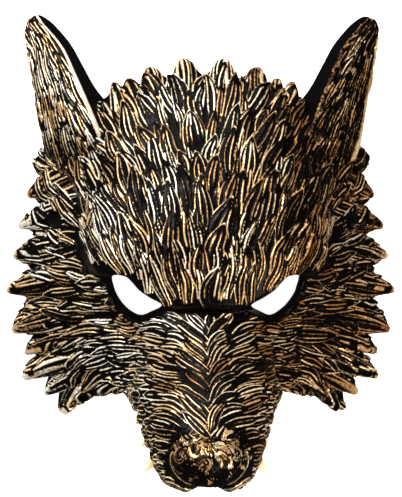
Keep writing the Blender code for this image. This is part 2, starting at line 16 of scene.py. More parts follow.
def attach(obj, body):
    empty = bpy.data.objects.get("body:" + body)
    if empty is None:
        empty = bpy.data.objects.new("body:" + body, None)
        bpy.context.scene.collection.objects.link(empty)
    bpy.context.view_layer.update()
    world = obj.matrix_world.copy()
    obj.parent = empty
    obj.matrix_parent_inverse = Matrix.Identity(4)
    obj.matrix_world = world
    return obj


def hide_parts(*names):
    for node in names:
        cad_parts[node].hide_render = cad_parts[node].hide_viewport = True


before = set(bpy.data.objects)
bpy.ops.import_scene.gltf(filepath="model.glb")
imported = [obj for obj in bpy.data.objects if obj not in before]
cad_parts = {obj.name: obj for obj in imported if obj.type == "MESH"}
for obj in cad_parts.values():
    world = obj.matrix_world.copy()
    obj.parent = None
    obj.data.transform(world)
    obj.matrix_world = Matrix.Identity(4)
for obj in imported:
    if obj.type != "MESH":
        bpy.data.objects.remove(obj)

BODY = "root"
SHELL = "mask_shell"
SEED = 20

# Sizes of the CAD model that this model follows
FACE_WIDTH = 0.210
FACE_LENGTH = 0.240
FACE_DEPTH = 0.130
WALL = 0.003
TIP_WALL = 0.0022
LIP_WALL = 0.0045
TUFT_REACH = 0.0115
CROWN_TUFT_REACH = 0.0095
BROW_STEP = 0.007
LOBE_DROP = 0.006
NOSE_SIZE = np.array([0.042, 0.030, 0.040])
EYE_WIDTH = 0.028
EYE_HEIGHT = 0.0225
EYE_SPACING = 0.079
EYE_Y = -0.104
EAR_SIZE = np.array([0.050, 0.090, 0.030])
EAR_WALL = 0.003
EAR_TIP_WALL = 0.0012
STRAP_HOLE_LENGTH = 0.011
STRAP_HOLE_WIDTH = 0.0095
STRAP_HOLE_TILT = math.radians(78)
STRAP_BOSS_HEIGHT = 0.005
STRAP_BOSS_WIDTH = 0.022
EYE_WALL_DEPTH = 0.0045
STRAP_WALL_DEPTH = 0.0085
# The strap hole's section and its share of the way to the edge; the teeth's lengths and diameters.
STRAP_AT = (3.3, 0.80)
CANINE = (0.016, 0.0062)
CHEEK_TOOTH = (0.0105, 0.0050)
TOOTH_SPLAY = math.radians(38)
TOOTH_GAP = 0.0003
ORIGIN_SHIFT = np.array([0.0, -0.0019, 0.0])

# Sections of the face from the crown to the front lip, as shares of half its width, of its length
# and of its depth: the centre line, the end of the rounded cap, and the edge.
SECTION_COLUMNS = (
    "centre_y", "centre_z", "cap_x", "cap_z", "rim_x", "rim_y", "rim_z", "fullness", "bow",
)
SECTIONS = (
    (0.428, 0.31, 0.62, 0.155, 0.893, 0.244, 0.000, 2.1, 2.2),
    (0.362, 0.42, 0.66, 0.200, 0.911, 0.200, -0.008, 2.1, 2.0),
    (0.262, 0.52, 0.68, 0.235, 0.914, 0.137, -0.012, 2.1, 1.7),
    (0.166, 0.59, 0.68, 0.260, 0.926, 0.075, -0.015, 2.1, 1.5),
    (0.071, 0.63, 0.68, 0.275, 0.960, 0.008, -0.015, 2.1, 1.4),
    (-0.012, 0.64, 0.67, 0.290, 0.994, -0.055, -0.020, 2.1, 1.3),
    (-0.083, 0.60, 0.61, 0.305, 1.006, -0.120, -0.020, 2.1, 1.2),
    (-0.136, 0.57, 0.47, 0.345, 0.994, -0.180, -0.020, 2.0, 1.1),
    (-0.172, 0.60, 0.38, 0.370, 0.949, -0.250, -0.015, 2.0, 1.1),
    (-0.207, 0.65, 0.36, 0.375, 0.867, -0.312, 0.000, 2.1, 1.1),
    (-0.241, 0.70, 0.37, 0.370, 0.774, -0.356, 0.046, 2.2, 1.1),
    (-0.274, 0.74, 0.39, 0.355, 0.633, -0.349, 0.123, 2.3, 1.1),
    (-0.306, 0.78, 0.41, 0.325, 0.505, -0.338, 0.215, 2.4, 1.1),
    (-0.337, 0.81, 0.42, 0.292, 0.423, -0.345, 0.292, 2.5, 1.1),
    (-0.368, 0.85, 0.376, 0.362, 0.376, -0.383, 0.362, 2.5, 1.2),
    (-0.399, 0.88, 0.341, 0.431, 0.341, -0.429, 0.431, 2.5, 1.2),
    (-0.430, 0.91, 0.307, 0.492, 0.307, -0.473, 0.492, 2.5, 1.2),
    (-0.460, 0.93, 0.275, 0.538, 0.275, -0.506, 0.538, 2.4, 1.2),
    (-0.490, 0.92, 0.255, 0.558, 0.255, -0.523, 0.558, 2.3, 1.2),
    (-0.521, 0.84, 0.238, 0.569, 0.238, -0.531, 0.569, 2.2, 1.2),
    (-0.546, 0.66, 0.224, 0.577, 0.224, -0.537, 0.577, 2.0, 1.2),
)
CAP_END = math.radians(86)
CHEEK_BULGE = 1.3
FILLET = 0.005

# Tufts on the side of the face: start, tip and end in sections, reach outwards, drop.
SIDE_TUFTS = (
    (0.00, 0.70, 1.30, 0.60, 0.00),
    (1.30, 1.95, 2.45, 0.65, 0.05),
    (2.45, 3.15, 3.60, 1.00, 0.05),
    (3.60, 4.25, 4.85, 0.90, 0.05),
    (4.85, 5.55, 6.00, 1.00, 0.10),
    (6.00, 7.05, 7.40, 0.95, 0.20),
    (7.40, 7.80, 8.05, 0.55, 0.25),
    (8.05, 8.65, 8.95, 1.10, 0.40),
    (8.95, 9.35, 9.65, 0.45, 0.35),
    (9.65, 10.15, 10.60, 0.45, 0.80),
)
# Tufts on the crown: start, tip and end as shares of half the width, reach upwards.
CROWN_TUFTS = (
    (0.00, 0.12, 0.20, 1.00),
    (0.20, 0.31, 0.36, 0.75),
    (0.36, 0.42, 0.46, 0.45),
    (0.46, 0.50, 0.54, 0.60),
)
# Lower and outer edge of the raised forehead: x as a share of half the width, y of the length.
BROW_EDGE = (
    (0.00, -0.135), (0.13, -0.137), (0.24, -0.130), (0.36, -0.098), (0.44, -0.062), (0.53, -0.060),
    (0.60, -0.056), (0.65, -0.030), (0.665, 0.020), (0.66, 0.085), (0.69, 0.150), (0.75, 0.210),
)
BROW_FADE = (0.14, 0.24)
BROW_SOFTNESS = 0.0045
# Outline of an eye hole as shares of its width and height.
EYE_OUTLINE = (
    (-0.50, -0.24), (-0.26, -0.06), (-0.04, 0.13), (0.12, 0.35), (0.26, 0.49), (0.50, 0.50),
    (0.47, 0.22), (0.38, -0.04), (0.20, -0.32), (-0.06, -0.50), (-0.30, -0.40),
)
# Ear sections from the root to the tip: x, y and z of the outer edge, the crest and the inner edge.
EAR_SECTIONS = (
    (0.86, 0.02, -0.45, 0.10, 0.00, 0.60, 0.02, 0.26, 0.15),
    (0.91, 0.12, -0.03, 0.24, 0.19, 1.04, 0.12, 0.38, 0.40),
    (0.96, 0.29, 0.05, 0.40, 0.41, 0.92, 0.31, 0.52, 0.26),
    (1.02, 0.50, 0.08, 0.54, 0.59, 0.76, 0.46, 0.67, 0.20),
    (1.08, 0.70, 0.11, 0.68, 0.76, 0.60, 0.60, 0.81, 0.14),
    (1.12, 0.86, 0.12, 0.86, 0.89, 0.42, 0.78, 0.93, 0.10),
    (1.12, 0.94, 0.13, 0.98, 0.96, 0.28, 0.89, 0.98, 0.11),
    (1.08, 0.98, 0.14, 1.02, 0.995, 0.19, 0.96, 1.00, 0.13),
)
EAR_CORNER = np.array([0.457, 0.208, 0.115])
EAR_BULGE = 0.12
# Each tooth's name, its section, and its length and diameter.
TEETH = (
    ("cheek_tooth_rear", 14.2, CHEEK_TOOTH),
    ("cheek_tooth_front", 15.3, CHEEK_TOOTH),
    ("canine", 16.4, CANINE),
)
SIDES = ((1, "right"), (-1, "left"))

# Fineness of the visual model
GRID_STEP = 0.00052
HALF_COLUMNS = 262
BACK_ROWS, BACK_COLUMNS = 150, 61
EAR_ROWS, EAR_FRONT, EAR_FLANK = 190, 84, 30
HOLE_RINGS = 4
TOOTH_RINGS, TOOTH_SIDES = 26, 28

# Which way the fur's tips point, in degrees: 0 is outwards, 90 towards the crown. x is a share
# of half the width and y of the length.
FOREHEAD_FLOW = (
    (0.00, -0.13, 90), (0.12, -0.13, 86), (0.26, -0.12, 80), (0.40, -0.09, 74), (0.55, -0.06, 58),
    (0.62, 0.00, 72), (0.64, 0.08, 80), (0.45, 0.00, 70), (0.30, 0.02, 74), (0.14, 0.02, 84),
    (0.50, 0.12, 66), (0.30, 0.14, 72), (0.12, 0.16, 84), (0.55, 0.24, 60), (0.34, 0.26, 62),
    (0.14, 0.27, 80), (0.50, 0.34, 62), (0.32, 0.38, 58), (0.12, 0.40, 80), (0.00, 0.40, 90),
)
CHEEK_FLOW = (
    (0.72, 0.20, 62), (0.85, 0.16, 50), (0.74, 0.10, 52), (0.90, 0.08, 32), (0.76, 0.02, 30),
    (0.92, 0.00, 12), (0.74, -0.06, 10), (0.95, -0.07, -2), (0.62, -0.11, -4), (0.95, -0.14, -16),
    (0.70, -0.17, -10), (0.92, -0.20, -26), (0.50, -0.19, 2), (0.72, -0.25, -32), (0.86, -0.27, -38),
    (0.55, -0.26, -16), (0.62, -0.31, -48), (0.75, -0.34, -58), (0.42, -0.27, 0), (0.46, -0.33, -20),
)
MUZZLE_FLOW = (
    (0.00, -0.16, 62), (0.10, -0.15, 34), (0.20, -0.16, 12), (0.36, -0.17, 0), (0.00, -0.24, 62),
    (0.10, -0.23, 34), (0.20, -0.23, 12), (0.38, -0.24, -2), (0.00, -0.32, 62), (0.10, -0.31, 32),
    (0.20, -0.31, 10), (0.36, -0.32, -4), (0.00, -0.40, 62), (0.10, -0.39, 34), (0.20, -0.40, 8),
    (0.34, -0.40, -8), (0.00, -0.46, 60), (0.10, -0.45, 36), (0.20, -0.47, 4), (0.30, -0.50, -14),
)
EAR_FLOW = (
    (0.60, 0.25, 62), (0.75, 0.25, 76), (0.70, 0.36, 62), (0.85, 0.36, 80),
    (0.80, 0.46, 60), (0.92, 0.46, 80), (0.92, 0.54, 52), (0.98, 0.54, 76),
)

# The locks: length, width, distance between their roots down and across, height, distance between
# their ridges, and the share of them whose ridges close round the tip
LOCK_COLUMNS = ("length", "width", "row", "column", "lift", "pitch", "closed")
LOCKS = {
    "forehead": (0.036, 0.0112, 0.0175, 0.0094, 0.0029, 0.0030, 0.75),
    "forehead_wisp": (0.031, 0.0056, 0.0125, 0.0074, 0.0022, 0.0022, 0.15),
    "brow": (0.027, 0.0072, 0.0090, 0.0064, 0.0022, 0.0022, 0.20),
    "cheek": (0.038, 0.0104, 0.0130, 0.0180, 0.0029, 0.0030, 0.70),
    "cheek_wisp": (0.026, 0.0050, 0.0090, 0.0095, 0.0023, 0.0022, 0.15),
    "muzzle": (0.025, 0.0066, 0.0062, 0.0145, 0.0016, 0.0024, 0.15),
    "lip": (0.015, 0.0068, 0.0078, 0.0105, 0.0014, 0.0032, 0.85),
    "nose": (0.014, 0.0024, 0.0031, 0.0031, 0.0003, 0.0013, 0.0),
    "ear": (0.026, 0.0056, 0.0095, 0.0050, 0.0009, 0.0021, 0.10),
}
LOCKS = {name: dict(zip(LOCK_COLUMNS, row)) for name, row in LOCKS.items()}
TUFT_LOCK = {"lift": 0.0022, "pitch": 0.0023, "closed": 1.0}
SPINE_STEPS = 10
ROOT_RISE = 0.25
OUTER_RIDGE = 0.84
RIDGE_HEIGHT = 0.0010
RIDGE_WIDTH = 0.00056
WAVE = math.radians(14)

# Where the kinds of fur end, in sections, in metres, and as shares of the way to the edge
BROW_LAST = 8.5
BROW_ROOTS = (0.0008, 0.014)
BROW_LOW_Y = 0.02
BROW_MIDDLE = 0.030
MUZZLE_FIRST = 6.6
MUZZLE_HALF = 0.43 * FACE_WIDTH / 2
LIP_EDGES = ((12.0, 0.024), (16.6, 0.013))
CHEEK_END = 0.93
EYE_BAND = 0.0040
NOSE_END = 1.06
EAR_CLEAR_Y = 0.085

# The locks on the centre line: a bare strip beside it, and where the muzzle's pairs start and end,
# as shares of the length below the middle
CENTRE_STRIP = 0.007
MUZZLE_CENTRE = (0.160, 0.462)

# The ears' gold, with light painted in as if from the upper left: the left ear pale with a bright crest, the
# right one darker in painted shade with a painted highlight along its outer edge
EAR_GOLD_AND_PAINTED_LIGHT = {
    "left": {"fur": 1.0, "tone": (0.2, 1.0), "crest": 1.1, "edge": 0.2},
    "right": {"fur": 0.72, "tone": (0.0, 0.45), "crest": 0.45, "edge": 0.85},
}

BANDS = ("face_crown", "face_brow", "face_cheeks", "face_muzzle")

# Camera: metres for each pixel at the floor, and the angle from which the picture was taken
PIXEL = 0.0006
CAMERA_DISTANCE = 1.5
CAMERA_YAW = math.radians(2.5)
PICTURE_HEIGHT = 497
SENSOR = 36.0
FLOOR_SIDE = 6.0
FLOOR_GAP = 0.0004


def smooth(x):
    """Eases from 0 to 1 as x runs from 0 to 1."""
    x = np.clip(x, 0.0, 1.0)
    return x * x * (3 - 2 * x)


def through_rows(rows, at):
    """Catmull-Rom interpolation of a table's rows at positions counted in rows."""
    rows = np.asarray(rows, float)
    at = np.clip(np.asarray(at, float), 0, len(rows) - 1)
    first = np.minimum(at.astype(int), len(rows) - 2)
    t = (at - first)[:, None]
    before = rows[np.maximum(first - 1, 0)]
    start = rows[first]
    end = rows[first + 1]
    after = rows[np.minimum(first + 2, len(rows) - 1)]
    return 0.5 * (
        2 * start
        + (end - before) * t
        + (2 * before - 5 * start + 4 * end - after) * t**2
        + (3 * start - before - 3 * end + after) * t**3
    )


def tuft_profile(at, start, tip, end):
    """0 outside a tuft and 1 at its tip."""
    rising = np.clip((at - start) / (tip - start), 0, 1)
    falling = np.clip((end - at) / (end - tip), 0, 1)
    return np.where(at <= tip, np.sin(rising * math.pi / 2) ** 1.3, falling**1.4)


def nearest_on(polygon, x, y, edges=None):
    """The nearest point on a closed polygon's first edges to each point, and how far it is."""
    best = np.full(x.shape, 1.0)
    found = np.zeros(x.shape + (2,))
    for index, start in enumerate(polygon[:edges]):
        way = polygon[(index + 1) % len(polygon)] - start
        share = np.clip(((x - start[0]) * way[0] + (y - start[1]) * way[1]) / (way @ way), 0, 1)
        spot = start + share[..., None] * way
        away = np.hypot(x - spot[..., 0], y - spot[..., 1])
        closer = away < best
        best = np.where(closer, away, best)
        found = np.where(closer[..., None], spot, found)
    return found, best


def polygon_distance(x, y, corners, edges=None):
    """Distance to the first edges of a closed polygon, positive inside it."""
    inside = np.zeros(x.shape, bool)
    for start, end in zip(corners, np.roll(corners, -1, axis=0)):
        crosses = (start[1] > y) != (end[1] > y)
        with np.errstate(divide="ignore", invalid="ignore"):
            slope = (end[0] - start[0]) / (end[1] - start[1])
            inside ^= crosses & (x < start[0] + (y - start[1]) * slope)
    _spots, away = nearest_on(corners, x, y, edges)
    return np.where(inside, away, -away)


def brow_distance(x, y):
    """Distance to the lower and outer edge of the raised forehead, positive on it."""
    edge = np.asarray(BROW_EDGE) * (FACE_WIDTH / 2, FACE_LENGTH)
    around = [(edge[-1, 0], FACE_LENGTH), (-FACE_WIDTH, FACE_LENGTH), (-FACE_WIDTH, edge[0, 1])]
    return polygon_distance(np.abs(x), y, np.vstack([edge, around]), len(edge) - 1)


def read_line(line, at, places):
    """A line of points, given at some places, read at others."""
    return np.stack([np.interp(places, at, line[:, k]) for k in range(3)], axis=-1)


def evenly(curves, count, ends=None):
    """Resamples each curve to count points at even steps, up to a share of its length."""
    length = np.linalg.norm(np.diff(curves, axis=1), axis=2)
    along = np.concatenate([np.zeros((len(curves), 1)), np.cumsum(length, axis=1)], axis=1)
    along /= along[:, -1:]
    ends = np.ones(len(curves)) if ends is None else ends
    shares = np.linspace(0, 1, count)
    return np.array([read_line(curve, a, shares * end) for a, curve, end in zip(along, curves, ends)])


def face_curves(at, count, ends=None):
    """Each section as count points spaced evenly along it, from the centre line outwards."""
    table = {n: c[:, None] for n, c in zip(SECTION_COLUMNS, through_rows(SECTIONS, at).T)}
    turn = CAP_END * np.linspace(0, 1, 121)
    power = 2 / table["fullness"]
    lowest = math.cos(CAP_END) ** power
    cap_x = table["cap_x"] * (np.sin(turn) / math.sin(CAP_END)) ** power
    cap_z = (np.cos(turn) ** power - lowest) / (1 - lowest)
    cap_z = table["cap_z"] + (table["centre_z"] - table["cap_z"]) * cap_z
    step = np.linspace(0, 1, 41)[1:]
    cheek_x = table["cap_x"] + (table["rim_x"] - table["cap_x"]) * step
    cheek_z = table["cap_z"] + (table["rim_z"] - table["cap_z"]) * step**CHEEK_BULGE
    x = np.concatenate([cap_x, cheek_x], axis=1) * FACE_WIDTH / 2
    z = np.concatenate([cap_z, cheek_z], axis=1) * FACE_DEPTH
    dense = evenly(np.stack([x, np.zeros_like(x), z], axis=-1), 161)
    spacing = np.linalg.norm(dense[:, 1] - dense[:, 0], axis=1).mean()
    for _ in range(int(2 * (FILLET / spacing) ** 2)):
        inner = (dense[:, :-2] + 2 * dense[:, 1:-1] + dense[:, 2:]) / 4
        dense[:, 0, 2] = (dense[:, 0, 2] + dense[:, 1, 2]) / 2
        dense[:, 1:-1] = inner
    fall = np.linspace(0, 1, dense.shape[1]) ** table["bow"]
    dense[..., 1] = (table["centre_y"] + (table["rim_y"] - table["centre_y"]) * fall) * FACE_LENGTH
    return evenly(dense, count, ends)


def grid_normals(grid):
    """Unit normals of a grid of points, facing the front."""
    normal = np.cross(np.gradient(grid, axis=0), np.gradient(grid, axis=1))
    return normal / np.maximum(np.linalg.norm(normal, axis=2, keepdims=True), 1e-12)


def add_features(grid, at, share, fine):
    """Adds the raised forehead, the lobes of the lips, the tufts on the edges and the nose."""
    grid = grid.copy()
    at = at[:, None]
    x, y = grid[..., 0], grid[..., 1]
    raised = smooth(brow_distance(x, y) / BROW_SOFTNESS + 0.5)
    fade = 1 - smooth((y / FACE_LENGTH - BROW_FADE[0]) / (BROW_FADE[1] - BROW_FADE[0]))
    grid[..., 2] += BROW_STEP * raised * fade
    lobe = np.exp(-(((x / (FACE_WIDTH / 2)) - 0.125) / 0.075) ** 2) * smooth((at - 17.6) / 2.4)
    grid[..., 1] -= LOBE_DROP * lobe
    flare = smooth((share - 0.72) / 0.28)
    for start, tip, end, reach, drop in SIDE_TUFTS:
        pull = tuft_profile(at, start, tip, end) * flare
        grid[..., 0] += TUFT_REACH * reach * pull
        grid[..., 1] -= TUFT_REACH * drop * pull
    top = 1 - smooth(at / 1.3)
    for start, tip, end, reach in CROWN_TUFTS:
        grid[..., 1] += CROWN_TUFT_REACH * reach * tuft_profile(x / (FACE_WIDTH / 2), start, tip, end) * top
    return push_out_nose(grid) if fine else grid


def nose_centre():
    """The middle of the nose's ellipsoid."""
    tip = through_rows(SECTIONS, [17.8])[0]
    return np.array([0, tip[0] * FACE_LENGTH, tip[1] * FACE_DEPTH - 0.33 * NOSE_SIZE[2]])


def push_out_nose(grid):
    """Moves the points inside the nose's ellipsoid out to its surface and dents the nostrils."""
    centre, radii = nose_centre(), NOSE_SIZE / 2
    offset = (grid - centre) / radii
    size = np.linalg.norm(offset, axis=2, keepdims=True)
    inside = (size < 1) & (offset[..., 2:] > -0.2)
    grid = np.where(inside, centre + offset / np.maximum(size, 0.2) * radii, grid)
    nostril = centre + radii * (0.52, -0.62, 0.55)
    away = np.linalg.norm((grid - nostril) / (0.16 * NOSE_SIZE[0]), axis=2)
    grid[..., 2] -= 0.0025 * np.exp(-(away**2))
    return grid


def even_rows(step):
    """Section numbers whose rows lie a step apart on average."""
    at = np.linspace(0, len(SECTIONS) - 1, 400)
    grid = face_curves(at, 60)
    gap = np.linalg.norm(np.diff(grid, axis=0), axis=2).max(axis=1)
    along = np.concatenate([[0], np.cumsum(gap)])
    return np.interp(np.linspace(0, along[-1], int(along[-1] / step)), along, at)


def rim_shares(at):
    """How far along each section the surface reaches the plane that the mask rests on."""
    share = np.linspace(0, 1, 201)
    grid = add_features(face_curves(at, 201), at, share[None, :], fine=False)
    below = grid[..., 2] < 0
    first = np.where(below.any(axis=1), below.argmax(axis=1), 200)
    ends = np.ones(len(at))
    for i, j in enumerate(first):
        if below[i].any():
            z0, z1 = grid[i, j - 1, 2], grid[i, j, 2]
            ends[i] = share[j - 1] + (share[j] - share[j - 1]) * z0 / (z0 - z1)
    return ends


def mirrored(half):
    """The whole grid of vectors from its right half."""
    return np.concatenate([(half * (-1, 1, 1))[:, :0:-1], half], axis=1)


class Surface:
    """A grid of points with room for relief, gold and colour on it."""

    def __init__(self, grid):
        self.grid = grid
        self.normals = grid_normals(grid)
        even = eased(grid, 80)
        self.down = np.gradient(even, axis=0)
        self.across = np.gradient(even, axis=1)
        self.top = np.zeros(grid.shape[:2])
        self.height = np.zeros(grid.shape[:2])
        self.gold = np.zeros(grid.shape[:2])
        self.tone = np.full(grid.shape[:2], 0.5)

    def step(self, i, j, direction, length):
        """One step over the surface along a direction seen from the front, as a change of i and j."""
        a, b = self.down[int(i), int(j)], self.across[int(i), int(j)]
        det = a[0] * b[1] - a[1] * b[0]
        floor = 0.15 * np.linalg.norm(a) * np.linalg.norm(b)
        if abs(det) < floor:
            det = math.copysign(floor, det)
        di = (direction[0] * b[1] - direction[1] * b[0]) / det
        dj = (a[0] * direction[1] - a[1] * direction[0]) / det
        size = np.linalg.norm(a * di + b * dj)
        return di * length / size, dj * length / size

    def spine(self, i, j, flow, length, lean, wave=0.0, stop=None):
        """Points of a lock's spine from its root, following the flow in a slight wave, up to where
        stop says so."""
        rows, columns = self.top.shape
        track = [(i, j)]
        for k in range(SPINE_STEPS):
            x, y, _z = self.grid[int(i), int(j)]
            angle = flow(x, y) + lean + wave * math.sin(2 * math.pi * (k + 0.5) / SPINE_STEPS)
            di, dj = self.step(i, j, (math.cos(angle), math.sin(angle)), length / SPINE_STEPS)
            i, j = i + di, j + dj
            if not (1 <= i < rows - 2 and 1 <= j < columns - 2):
                break
            if stop is not None and stop[int(i), int(j)]:
                break
            track.append((i, j))
        return track

    def add_lock(self, track, lock, rng, lift=1.0, tone=None, bright=1.0, root=0.0):
        """Stamps one lock: a long leaf that rises to its tip, with ridges that close round it."""
        if len(track) < 4:
            return
        track = np.array(track)
        half = lock["width"] * rng.uniform(0.85, 1.15) / 2
        window = self.window(track, half + RIDGE_HEIGHT)
        if window is None:
            return
        along, side = self.measure(self.at(track[:, 0], track[:, 1]), window)
        body = np.clip(along, 0, 1)
        taper = np.clip((body - 0.50) / 0.50, 0, 1)
        outline = (0.66 + 0.34 * smooth(body / 0.40)) * (1 - taper**2.1) ** 0.85
        reach = half * np.maximum(outline, 1e-3)
        across = side / reach
        inside = (np.abs(across) < 1) & (along > 0) & (along < 1)
        rise = ROOT_RISE + (1 - ROOT_RISE) * smooth(body / 0.75)
        dome = np.clip(1 - across**6, 0, 1)
        top = lift * lock["lift"] * rise * dome * rng.uniform(0.85, 1.15)
        wins = inside & (top > self.top[window])
        closed = rng.uniform() < lock["closed"]
        ridge = ridges(lock, body, side, reach, half, closed, root, rng)
        knob = np.exp(-(((1 - body) / 0.06) ** 2)) * (0.8 if closed else 0.3)
        dust = rng.uniform(0.05, 0.30) * body
        gold = bright * np.maximum(np.maximum(ridge * (0.85 + 0.20 * body), knob), dust)
        hue = rng.uniform(0, 1) if tone is None else tone
        height = top + RIDGE_HEIGHT * ridge
        for layer, value in ((self.top, top), (self.height, height), (self.gold, gold), (self.tone, hue)):
            layer[window] = np.where(wins, value, layer[window])

    def measure(self, points, window):
        """How far along a spine each grid point of a window lies, and how far to its side."""
        near, normal = self.grid[window], self.normals[window]
        best = np.full(near.shape[:2], 1.0)
        along = np.zeros(near.shape[:2])
        side = np.zeros(near.shape[:2])
        pieces = len(points) - 1
        for k in range(pieces):
            way = points[k + 1] - points[k]
            share = ((near - points[k]) @ way) / (way @ way)
            share = np.clip(share, 0 if k else -1, 1 if k < pieces - 1 else 2)
            offset = near - points[k] - share[..., None] * way
            away = np.linalg.norm(offset, axis=2)
            closer = away < best
            best = np.where(closer, away, best)
            along = np.where(closer, (k + share) / pieces, along)
            turned = (np.cross(normal, way) * offset).sum(axis=2)
            side = np.where(closer, np.sign(turned) * away, side)
        return along, side

    def at(self, i, j):
        """Points of the surface between grid points."""
        i0, j0 = i.astype(int), j.astype(int)
        u, v = (i - i0)[:, None], (j - j0)[:, None]
        g = self.grid
        return (
            g[i0, j0] * (1 - u) * (1 - v) + g[i0 + 1, j0] * u * (1 - v)
            + g[i0, j0 + 1] * (1 - u) * v + g[i0 + 1, j0 + 1] * u * v
        )

    def window(self, track, margin):
        """The part of the grid round a track."""
        rows, columns = self.top.shape
        i, j = track.astype(int).T
        down = np.linalg.norm(self.down[i, j], axis=1).min()
        across = np.linalg.norm(self.across[i, j], axis=1).min()
        di, dj = int(margin / max(down, 1e-4)) + 2, int(margin / max(across, 1e-4)) + 2
        low_i, high_i = max(i.min() - di, 0), min(i.max() + di, rows)
        low_j, high_j = max(j.min() - dj, 0), min(j.max() + dj, columns)
        if high_i - low_i < 2 or high_j - low_j < 2:
            return None
        return slice(low_i, high_i), slice(low_j, high_j)


def ridges(lock, body, side, reach, half, closed, root, rng):
    """The ridges along a lock, from 0 to 1. The outer two close round the tip of a closed lock."""
    count = max(3, int(round(1.7 * half / lock["pitch"])) + 1)
    lines = np.linspace(-OUTER_RIDGE, OUTER_RIDGE, count)
    lines[1:-1] += rng.uniform(-0.10, 0.10, count - 2)
    made = np.zeros(body.shape)
    for line in lines:
        outer = abs(line) > 0.75
        strength = rng.uniform(0.75, 1.0) if outer else rng.uniform(0.45, 1.0)
        starts = root + (rng.uniform(-0.1, 0.15) if outer else rng.uniform(0.0, 0.30))
        stops = 1.20 if outer and closed else rng.uniform(0.85, 1.06) + 0.15 * (lock["closed"] == 1)
        alive = smooth((body - starts) / 0.22) * smooth((stops - body) / 0.20)
        sharp = RIDGE_WIDTH * rng.uniform(0.75, 1.35)
        swing = 0.05 * np.sin(2 * math.pi * (body * rng.uniform(0.8, 1.6) + rng.uniform()))
        away = (side - (line + swing) * reach) / sharp
        made = np.maximum(made, strength * alive * np.exp(-(away**2)))
    return made


def flow_field(table):
    """A function that gives the fur's angle at a point from a table of angles."""
    table = np.asarray(table, float)
    places = table[:, :2] * (FACE_WIDTH / 2, FACE_LENGTH)
    angles = np.radians(table[:, 2])

    def angle_at(x, y):
        away = (places[:, 0] - abs(x)) ** 2 + (places[:, 1] - y) ** 2 + 1e-5
        weight = 1 / away**1.5
        cosine, sine = (weight * np.cos(angles)).sum(), (weight * np.sin(angles)).sum()
        return math.atan2(sine, math.copysign(1, x) * cosine)

    return angle_at


def scatter(surface, region, lock, rng):
    """Roots for locks, a row and a column apart, where region says so."""
    rows, columns = surface.top.shape
    middle = columns // 2
    roots = []
    i, odd = 2.0, 0
    while i < rows - 3:
        across = np.linalg.norm(surface.across[int(i)], axis=1)
        along = np.concatenate([[0], np.cumsum(across[middle:-1])])
        spots = np.arange(lock["column"] * (0.25 + 0.5 * odd), along[-1], lock["column"])
        for sign in (1, -1):
            for spot in spots:
                spot = spot + rng.uniform(-0.25, 0.25) * lock["column"]
                j = middle + sign * np.interp(spot, along, np.arange(len(along)))
                ii = i + rng.uniform(-0.3, 0.3) * lock["row"] / GRID_STEP
                if 2 <= ii < rows - 3 and 2 <= j < columns - 3 and region[int(ii), int(j)]:
                    roots.append((ii, j))
        down = np.linalg.norm(surface.down[int(i), middle]) + np.linalg.norm(surface.down[int(i), -1])
        i += lock["row"] / (down / 2)
        odd = 1 - odd
    return roots


def rim_track(surface, at, start, end):
    """A track between two spots given by section and by share of the way from the centre line to
    the edge, signed for its side."""
    middle = surface.top.shape[1] // 2
    track = []
    for step in np.linspace(0, 1, SPINE_STEPS + 1):
        section = start[0] + (end[0] - start[0]) * smooth(step)
        share = start[1] + (end[1] - start[1]) * step
        i = np.clip(np.interp(section, at, np.arange(len(at))), 0, len(at) - 1.01)
        j = np.clip(middle * (1 + share), 0, 2 * middle - 0.01)
        track.append((float(i), float(j)))
    return track


def add_side_tufts(surface, at, rng):
    """A lock on each tuft of the side, except the flat ones at its two ends."""
    rim = surface.grid[:, -1]
    for start, tip, end, _reach, _drop in SIDE_TUFTS[1:-1]:
        first, last = rim[np.interp((start, end), at, np.arange(len(at))).astype(int)]
        width = abs(first[1] - last[1]) + 0.35 * abs(first[0] - last[0])
        lock = dict(TUFT_LOCK, width=min(1.05 * width, 0.019 if tip < 9 else 0.011))
        for side in (1, -1):
            back = 0.75 * (tip - (start + end) / 2) + rng.uniform(-0.10, 0.10)
            track = rim_track(surface, at, (tip - back, side * 0.58), (tip, side * 1.0))
            surface.add_lock(track, lock, rng, bright=0.98, root=0.05)


def add_crown_tufts(surface, at, rng):
    """A lock on each tuft of the crown."""
    middle = surface.top.shape[1] // 2
    x = surface.grid[0, middle:, 0]
    for start, tip, end, _reach in CROWN_TUFTS:
        places = np.array([tip, (start + end) / 2]) * FACE_WIDTH / 2
        tip_share, middle_share = np.interp(places, x, np.arange(len(x))) / middle
        root_share = 0.75 * tip_share + 0.25 * middle_share
        lock = dict(TUFT_LOCK, width=max(0.88 * (end - start) * FACE_WIDTH / 2, 0.0085))
        for side in (1, -1):
            track = rim_track(surface, at, (1.45, side * root_share * 0.85), (0.0, side * tip_share))
            surface.add_lock(track, lock, rng, lift=0.7, bright=1.15, root=0.05)


def add_muzzle_middle(surface, flow, stop, rng):
    """The muzzle's paired locks, which leave its centre line like the barbs of a feather."""
    middle = HALF_COLUMNS - 1
    lock = LOCKS["muzzle"]
    below = -surface.grid[:, middle, 1] / FACE_LENGTH
    rows = np.interp(MUZZLE_CENTRE, below, np.arange(len(below)))
    step = lock["row"] / np.linalg.norm(surface.down[int(rows.mean()), middle])
    for i in np.arange(rows[0], rows[1], step):
        for side in (1, -1):
            row = i + rng.uniform(-0.35, 0.35) * step
            length = lock["length"] * rng.uniform(0.75, 1.15)
            lean = math.radians(rng.normal(0, 7))
            track = surface.spine(row, middle + side * 1.5, flow, length, lean, 0.8 * WAVE, stop)
            surface.add_lock(track, lock, rng, lift=0.8, bright=0.86, root=-0.2)


